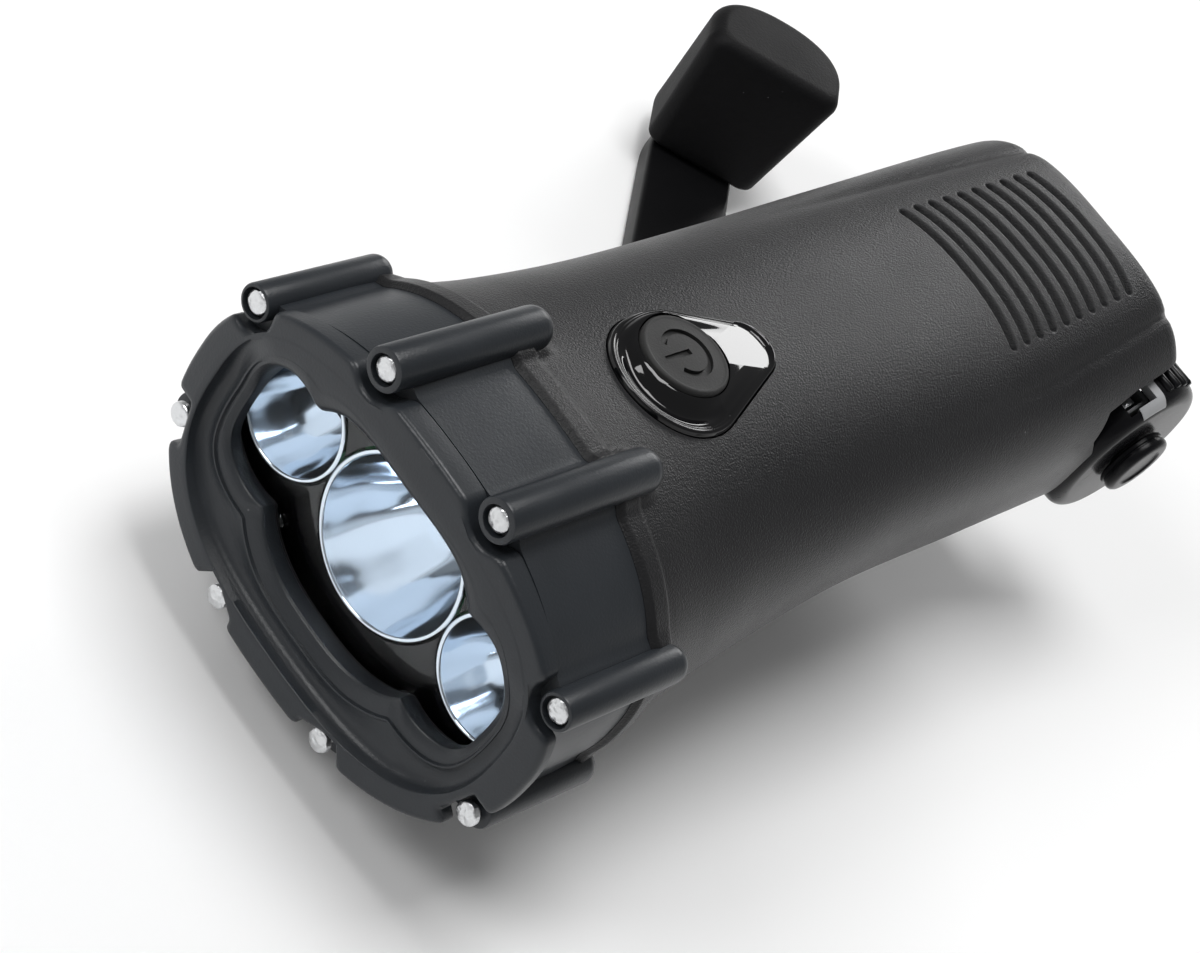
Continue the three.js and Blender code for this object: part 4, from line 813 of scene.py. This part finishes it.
def make_lamp():
    """The lens, its gasket and the dark plate, and a bright cup with a domed lamp in each of three holes."""
    lens = oval_plate("lens_pane", LENS_FRONT, LENS_BACK, 0.2)
    dress(lens, "housing", "lens", "lens", "front_lens")
    gasket = oval_plate("gasket_ring", GASKET_FRONT, GASKET_BACK, 0.1, hole=0.3)
    dress(gasket, "housing", "rubber", "seal", "lens_gasket")
    plate = oval_plate("lamp_plate", PLATE_DEPTH, PLATE_DEPTH + PLATE_THICK, 0.15)
    cups = (("far", -SIDE_LAMP_Y, SIDE_CUP), ("centre", 0, CENTRE_CUP), ("near", SIDE_LAMP_Y, SIDE_CUP))
    for _, y, cup in cups:
        hole = round_cutter(cup["mouth"] + 1, 0, 6, 96)
        combined(plate, place(hole, along_x(FRONT_X - PLATE_DEPTH - 3, y, AXIS_Z)), smooth=32)
    plate = joined("lamp_plate", [plate] + [plate_tab(y, z) for y, z in PLATE_TABS])
    smooth_by(plate, 32)
    dress(plate, "housing", "gloss", "gloss", "reflector_plate")
    for name, y, cup in cups:
        bowl = reflector("cup_" + name, cup)
        place(bowl, along_x(FRONT_X - PLATE_DEPTH - cup["depth"], y, AXIS_Z))
        dress(bowl, "housing", "chrome", "chrome", "reflector_" + name)
        radius = cup["led"]
        foot = [(0, 0), (radius + 0.25, 0), (radius + 0.25, 0.7), (radius, 0.8)]
        dome = [(radius * math.cos(t), 2.2 + radius * math.sin(t)) for t in np.linspace(0, 1.45, 12)]
        led = lathe("lamp_" + name, foot + dome + [(0, dome[-1][1] + 0.02)], 48)
        place(led, along_x(FRONT_X - LED_BOARD_DEPTH + 0.3, y, AXIS_Z))
        dress(led, "housing", "led", "led", "led_" + name)


def plate_tab(y, z):
    """A low rounded locating boss on the lamp plate."""
    boss = lathe("tab", [(1.3, 0), (1.3, 0.5), (1.0, 0.85), (0, 0.9)], 24)
    return place(boss, along_x(FRONT_X - PLATE_DEPTH - 0.05, y, AXIS_Z + z))


def reflector(name, cup):
    """A bright bowl with a rounded lip. Its wall has flutes and waves that break up what it shows."""
    throat, mouth, depth = cup["throat"], cup["mouth"], cup["depth"]
    angles = full_turn(120)
    rings = []

    def add_ring(radius, height):
        rings.append(np.stack([radius * np.cos(angles), radius * np.sin(angles),
                               np.full(len(angles), height)], axis=-1))

    for share in np.arange(27) / 26:
        fade = math.sin(math.pi * share)
        flutes = 0.05 * np.sin(5 * angles + 2 * share) + 0.025 * np.sin(11 * angles - 3 * share)
        waves = 0.07 * math.sin(9 * share)
        base = throat + (mouth - throat) * math.sqrt(share)
        add_ring(base + (flutes * fade + waves * fade) * mouth / FLUTED_RADIUS, depth * share)
    for t in np.linspace(0, math.pi, 8)[1:]:
        add_ring(mouth + CUP_LIP * (1 - math.cos(t)), depth + CUP_LIP * math.sin(t))
    for share in np.linspace(0.9, 0, 10):
        add_ring(throat + (mouth - throat) * math.sqrt(share) + CUP_WALL, depth * share)
    return loft(name, rings, closed=True, smooth=50)


# Power button

def make_button():
    """The glossy pear frame: a stepped rim, a sunk dish round the pad and a slope that falls to the tail."""
    edge_x, edge_y = pear_outline(0.0, 300)
    hub_x = PEAR["x"] - 1.6
    rings = [np.stack([edge_x, edge_y, roof_level(edge_x, edge_y) - 2.2], axis=-1)]
    for share in np.concatenate([np.linspace(0, 0.7, 22), np.linspace(0.72, 1, 34)])[::-1]:
        x, y = hub_x + (edge_x - hub_x) * share, edge_y * share
        rings.append(np.stack([x, y, roof_level(x, y) + pear_relief(x, y)], axis=-1))
    frame_piece = loft("button_frame", rings, smooth=60)
    well = round_cutter(BUTTON["radius"] + 0.2, -12, 8, 96)
    combined(frame_piece, place(well, moved(BUTTON["x"], BUTTON["y"], 52)), smooth=60)
    dress(frame_piece, "housing", "gloss", "gloss", "button_bezel")
    make_pad()


def roof_level(x, y):
    """Height of the housing's roof over places in plan."""
    half, middle, up, _, square = section(FRONT_X - np.atleast_1d(x)).T
    share = np.clip(1 - np.abs(y / half) ** square, 0, None) ** (1 / square)
    return AXIS_Z + middle + up * share


def pear_relief(x, y):
    """Height of the button frame over the roof: fine steps at the rim, a dish and the slope behind it."""
    inside = -pear_distance(x, y)
    rim = 0.6 * smooth_step(inside, -0.05, 0.3) - 0.13 * smooth_step(inside, 0.6, 0.75)
    rim -= 0.13 * smooth_step(inside, 1.0, 1.15)
    dish = 0.75 * smooth_step(inside, 1.3, 3.0)
    away = np.hypot(x - BUTTON["x"], y - BUTTON["y"]) - BUTTON["radius"]
    pedestal = 1.75 * np.exp(-(np.clip(away - 0.1, 0, None) / 1.5) ** 2)
    level = rim - dish + pedestal
    past = BUTTON["x"] - x
    brink = roof_level(BUTTON["x"] - SLOPE["start"], 0.0)[0] + SLOPE["rise"]
    slope = brink - SLOPE["fall"] * (past - SLOPE["start"]) - 0.05 * (y / 5) ** 2 - roof_level(x, y)
    share = smooth_step(past + 0.4 * y, 4.2, 6.2) * smooth_step(inside, 0.55, 1.25)
    return level + (slope - level) * share


def make_pad():
    """The button's pad with its skirt and stem, and the power symbol sunk in its top."""
    r = BUTTON["radius"]
    top = float(roof_level(BUTTON["x"], 0.0)[0]) + BUTTON["proud"]
    foot = top - 7.8
    profile = [(0, foot), (1.8, foot), (1.8, foot + 1.6), (r + 1, foot + 1.6), (r + 1, foot + 2.4),
               (r, foot + 2.5), (r, top - 0.62), (r - 0.08, top - 0.42), (r - 0.25, top - 0.28),
               (r - 0.45, top - 0.24), (r - 0.62, top - 0.3), (r - 0.8, top - 0.33), (r - 2.2, top - 0.12),
               (2.0, top - 0.03), (0, top)]
    pad = lathe("pad", profile, 128, smooth=50)
    ring, half, deep = BUTTON_SYMBOL["ring"], BUTTON_SYMBOL["half"], BUTTON_SYMBOL["deep"]
    start, end = BUTTON_SYMBOL["bar"]
    bar = [(start, -half), (end, -half), (end, half), (start, half)]
    combined(pad, prism("cut", bar, top - deep - 0.1, top + 1), smooth=50)
    opening = math.radians(BUTTON_SYMBOL["open_angle"])
    turn = np.linspace(opening, 2 * math.pi - opening, 60)
    arc = [((ring + half) * math.cos(a), (ring + half) * math.sin(a)) for a in turn]
    arc += [((ring - half) * math.cos(a), (ring - half) * math.sin(a)) for a in turn[::-1]]
    combined(pad, prism("cut", arc, top - deep - 0.25, top + 1), smooth=50)
    place(pad, moved(BUTTON["x"], BUTTON["y"], 0))
    dress(pad, "button", "rubber", "rubber", "power_button")


# Crank

def on_crank(obj):
    return place(obj, Matrix.Rotation(CRANK_ANGLE, 4, "Z"))


def arm_outline():
    """The bar in plan: a neck at the hinge that widens, and a rounded end."""
    neck, half, neck_end = ARM["neck"], ARM["half"], ARM["neck_end"]
    side = [(FOLD_X, neck)]
    for t in np.linspace(0, 1, 9):
        side.append((neck_end + (ARM["wide_from"] - neck_end) * t,
                     neck + (half - neck) * smooth_step(t, 0, 1)))
    end = [(ARM["round_from"] + ARM["tip"] * math.cos(a), half * math.sin(a))
           for a in np.linspace(-math.pi / 2, math.pi / 2, 40)]
    return [(x, -y) for x, y in side] + end + side[::-1]


def at_hinge(obj):
    """Lays a body made about Z along the axis of the folding hinge."""
    return place(obj, along_y(FOLD_X, 0, ARM_THICK / 2))


def make_arm():
    """The folding bar with its hinge barrel, and the knob's axle."""
    arm = bevelled(prism("arm_bar", arm_outline(), 0, ARM_THICK), 0.8, segments=4, angle=50)
    barrel = lathe("barrel", [(0, -5.6), (2.0, -5.6), (2.3, -5.3), (2.3, 5.3), (2.0, 5.6), (0, 5.6)], 48)
    combined(arm, at_hinge(barrel), "UNION")
    combined(arm, at_hinge(round_cutter(PIN_BORE, -20, 20, 32)))
    knob_hole = lathe("cut", [(0, -1), (3.6, -1), (3.6, 1.6), (2.3, 1.6), (2.3, 9), (0, 9)], 48)
    combined(arm, place(knob_hole, moved(CRANK_RADIUS, 0, 0)))
    dress(on_crank(arm), "arm", "shell", "arm", "crank_arm")
    profile = [(0, 0), (3.0, 0), (3.2, 0.2), (3.2, 1.3), (2, 1.3), (2, 18.8), (1.8, 19), (0, 19)]
    pin = place(lathe("knob_axle", profile, 48), moved(CRANK_RADIUS, 0, GAP))
    dress(on_crank(pin), "arm", "steel", "steel", "knob_pin")


def make_hub():
    """The slotted hub with its shaft, and the hinge pin across it."""
    hub = lathe("hub", [(0, 0), (10.3, 0), (10.8, 0.15), (11.25, 0.5), (11.4, 1), (11.4, 6.6), (11.0, 7),
                        (3, 7), (3, 22), (1.8, 22), (1.8, 25.6), (1.6, 25.8), (0, 25.8)], 96)
    combined(hub, boxed("cut", (-20, -5.9, -1), (20, 5.9, ARM_THICK + GAP)))
    combined(hub, at_hinge(round_cutter(PIN_BORE, -20, 20, 32)))
    dress(on_crank(hub), "crank", "shell", "arm", "crank_hub")
    profile = [(0, -10.6), (0.95, -10.6), (1.1, -10.45), (1.1, 10.45), (0.95, 10.6), (0, 10.6)]
    pin = at_hinge(lathe("hinge_pin", profile, 32))
    dress(on_crank(pin), "crank", "steel", "steel", "fold_pin")


def knob_ring(height, half, flat, inset):
    """One level of the knob: a D with its flat to the crank axis, leaning with its height."""
    w, f, b = half - inset, flat - inset, KNOB_BACK - inset
    power = 2 / 2.3
    points = []
    for a in np.linspace(-math.pi / 2, math.pi / 2, 61):
        c, sn = math.cos(a), math.sin(a)
        points.append((math.copysign(b * abs(c) ** power, c), math.copysign(w * abs(sn) ** power, sn)))
    for start, sign in ((math.pi / 2, 1), (math.pi, -1)):
        for a in np.linspace(start, start + math.pi / 2, 13):
            points.append((-(f - KNOB_CORNER) + KNOB_CORNER * math.cos(a),
                           sign * (w - KNOB_CORNER) + KNOB_CORNER * math.sin(a)))
    lean = -0.8 - 1.7 * height / KNOB_HEIGHT
    return np.array([(x + 2.6, y + lean, height) for x, y in points])


def make_knob():
    """The grip, which widens upwards and has a rounded top edge."""
    body_top = KNOB_HEIGHT - KNOB_EDGE
    levels = [(0, 9.7, 9, 0.8), (0.15, 9.7, 9, 0.35), (0.5, 9.7, 9, 0.08), (0.9, 9.72, 8.98, 0)]
    for t in np.linspace(0, 1, 12)[1:]:
        levels.append((0.9 + (body_top - 0.9) * t, 9.7 + 2.1 * t, 9 - 2.8 * t, 0))
    for t in np.linspace(0, math.pi / 2, 10)[1:]:
        levels.append((body_top + KNOB_EDGE * math.sin(t), 11.8, 6.1, KNOB_EDGE * (1 - math.cos(t))))
    knob = loft("knob", [knob_ring(*level) for level in levels], smooth=50)
    combined(knob, round_cutter(2.3, -1, 16), smooth=50)
    place(knob, moved(CRANK_RADIUS, 0, KNOB_BASE))
    dress(on_crank(knob), "knob", "rubber", "knob", "crank_knob")


# Tail

def on_drum(obj):
    """Turns a body made about the drum's axis at the origin, pointing to +X, up to the port's angle."""
    turn = Matrix.Rotation(-math.radians(PORT_ANGLE), 4, "Y")
    return place(obj, moved(DRUM_X, 0, DRUM_Z) @ turn)


def make_drum():
    """The hollow cover with its ridges and window."""
    r, edge = DRUM_RADIUS, DRUM_EDGE
    profile = [(0, DRUM_IN_Y), (r - 0.3, DRUM_IN_Y), (r, DRUM_IN_Y + 0.3), (r, DRUM_OUT_Y - edge)]
    profile += [(r - edge * (1 - math.cos(t)), DRUM_OUT_Y - edge * (1 - math.sin(t)))
                for t in np.linspace(0, math.pi / 2, 10)[1:]]
    drum = place(lathe("drum", profile + [(0, DRUM_OUT_Y)], 160), along_y(DRUM_X, 0, DRUM_Z))
    hollow = round_cutter(r - DRUM_WALL, RECESS_Y, DRUM_OUT_Y - DRUM_WALL, 96)
    combined(drum, place(hollow, along_y(DRUM_X, 0, DRUM_Z)))
    combined(drum, place(round_cutter(2.9, RECESS_Y, 40), along_y(DRUM_X, 0, DRUM_Z)))
    window = boxed("cut", (6, PORT_Y - 1.5, -WINDOW_HALF), (20, PORT_Y + 2.8, WINDOW_HALF))
    combined(drum, on_drum(window))
    low, high = DRUM_IN_Y + 1.2, DRUM_OUT_Y - 1.6
    for degrees in RIDGE_ANGLES:
        a = math.radians(degrees)
        rib = lathe("rib", [(0, low), (0.55, low + 0.1), (0.72, low + 0.4), (0.72, high - 0.4),
                            (0.55, high - 0.1), (0, high)], 20)
        place(rib, along_y(DRUM_X + (r + 0.02) * math.cos(a), 0, DRUM_Z + (r + 0.02) * math.sin(a)))
        combined(drum, rib, "UNION")
    dress(drum, "cover", "shell", "drum", "socket_cover")
    make_port_frame()


def make_port_frame():
    """The light grey frame let into the drum round three sides of its window, following its round edge."""
    turn = np.radians(PORT_ANGLE + np.linspace(*FRAME_ARC, 14))
    low, high = PORT_Y - 2.1, PORT_Y + 4.0
    rings = []
    for y in np.concatenate([[low], np.linspace(low + 0.2, high - 0.1, 12), [high]]):
        past_edge = max(0.0, y - DRUM_OUT_Y + DRUM_EDGE)
        reach = DRUM_RADIUS - DRUM_EDGE + math.sqrt(DRUM_EDGE ** 2 - past_edge ** 2)
        reach += 0.2 if low < y < high else 0.03
        ring = [(reach * math.cos(a), y, reach * math.sin(a)) for a in turn]
        foot = DRUM_RADIUS - 1.9
        ring += [(foot * math.cos(a), y, foot * math.sin(a)) for a in turn[::-1]]
        rings.append(np.array(ring))
    band = place(loft("port_frame", rings), moved(DRUM_X, 0, DRUM_Z))
    opening = boxed("cut", (6, PORT_Y - 1.5, -WINDOW_HALF), (20, PORT_Y + 2.5, 2.25))
    combined(band, on_drum(opening))
    dress(band, "cover", "grey", "grey")


def make_socket():
    """The slotted block with its pivot, the bright tongue in the slot, and the drum's cap."""
    pivot = lathe("block", [(0, RECESS_Y + 0.3), (8, RECESS_Y + 0.3), (8, DRUM_IN_Y + 0.4),
                            (7.8, DRUM_IN_Y + 0.6), (2.6, DRUM_IN_Y + 0.6), (2.6, DRUM_OUT_Y + 1.5),
                            (2.4, DRUM_OUT_Y + 1.6), (0, DRUM_OUT_Y + 1.6)], 64)
    block = place(pivot, along_y(DRUM_X, 0, DRUM_Z))
    lug = bevelled(boxed("lug", (1, RECESS_Y + 1, -2.6), (10.2, PORT_Y + 1.7, 2.6)), 0.3, 2)
    combined(block, on_drum(lug), "UNION")
    port = bevelled(boxed("cut", (4, PORT_Y - 1.3, -1.9), (14, PORT_Y + 1.2, 1.9)), 0.35, 3)
    combined(block, on_drum(port))
    dress(block, "housing", "grey", "block", "socket_block")
    tongue = bevelled(boxed("tongue", (4.3, PORT_Y - 0.6, -1), (9.4, PORT_Y + 0.6, 1)), 0.15, 2)
    dress(on_drum(tongue), "housing", "steel", "stud", "charging_socket")
    cap = lathe("cap", [(2.9, 0), (5.1, 0), (5.4, 0.3), (5.4, 0.75), (5.15, 0.9), (5.15, 1.05), (5.4, 1.2),
                        (5.4, 1.7), (5.25, 2.1), (4.9, 2.4), (4.5, 2.5), (3.6, 2.5), (3.3, 2.25), (0, 2.2),
                        (0, 1.6), (2.9, 1.6), (2.9, 0)], 72)
    place(cap, along_y(DRUM_X, DRUM_OUT_Y + 0.3, DRUM_Z))
    dress(cap, "housing", "shell", "drum", "cover_pivot_cap")


# Scene

def build_camera():
    data = bpy.data.cameras.new("camera")
    data.sensor_width, data.lens, data.clip_start = SENSOR_WIDTH, FOCAL_LENGTH, 0.01
    camera = new_object("camera", data)
    turn = Matrix((CAMERA_RIGHT, CAMERA_UP, CAMERA_BACK)).transposed().to_4x4()
    camera.matrix_world = Matrix.Translation(Vector(CAMERA_PLACE) * MM) @ turn
    bpy.context.scene.camera = camera


def area_light(name, direction, distance, size, power):
    """A soft box in a direction from the torch, facing it."""
    data = bpy.data.lights.new(name, "AREA")
    data.shape = "RECTANGLE"
    data.size, data.size_y = size
    data.energy = power
    lamp = new_object(name, data)
    target = Vector(LAMP_TARGET)
    lamp.location = target + Vector(direction).normalized() * distance
    lamp.rotation_euler = (target - lamp.location).to_track_quat("-Z", "Y").to_euler()


def build_stage():
    """The white floor, and a white sky that is brighter below its horizon."""
    reach, level = FLOOR_REACH, -FLOOR_DROP
    corners = [(-reach, -reach, level), (reach, -reach, level), (reach, reach, level), (-reach, reach, level)]
    floor = make_object("floor", corners, [(0, 1, 2, 3)])
    material, _, shader = blank("floor_white")
    shader.inputs["Base Color"].default_value = (FLOOR_COLOUR, FLOOR_COLOUR, FLOOR_COLOUR, 1)
    shader.inputs["Roughness"].default_value = 0.9
    floor.data.materials.append(material)
    world = bpy.data.worlds.new("world")
    world.use_nodes = True
    tree = world.node_tree
    back = tree.nodes["Background"]
    back.inputs["Color"].default_value = (1, 1, 1, 1)
    direction = node(tree, "ShaderNodeTexCoord")
    parts = node(tree, "ShaderNodeSeparateXYZ")
    tree.links.new(direction.outputs["Generated"], parts.inputs["Vector"])
    strength = ranged(tree, parts.outputs["Z"], SKY_LOW, SKY_HIGH, *HORIZON)
    tree.links.new(strength, back.inputs["Strength"])
    bpy.context.scene.world = world
    bpy.context.scene.view_settings.view_transform = "Standard"


build_camera()
build_stage()
for soft_box in LAMPS:
    area_light(*soft_box)
dress_cad()
make_body()
make_head()
make_bezel()
make_studs()
make_lamp()
make_button()
make_arm()
make_hub()
make_knob()
make_drum()
make_socket()
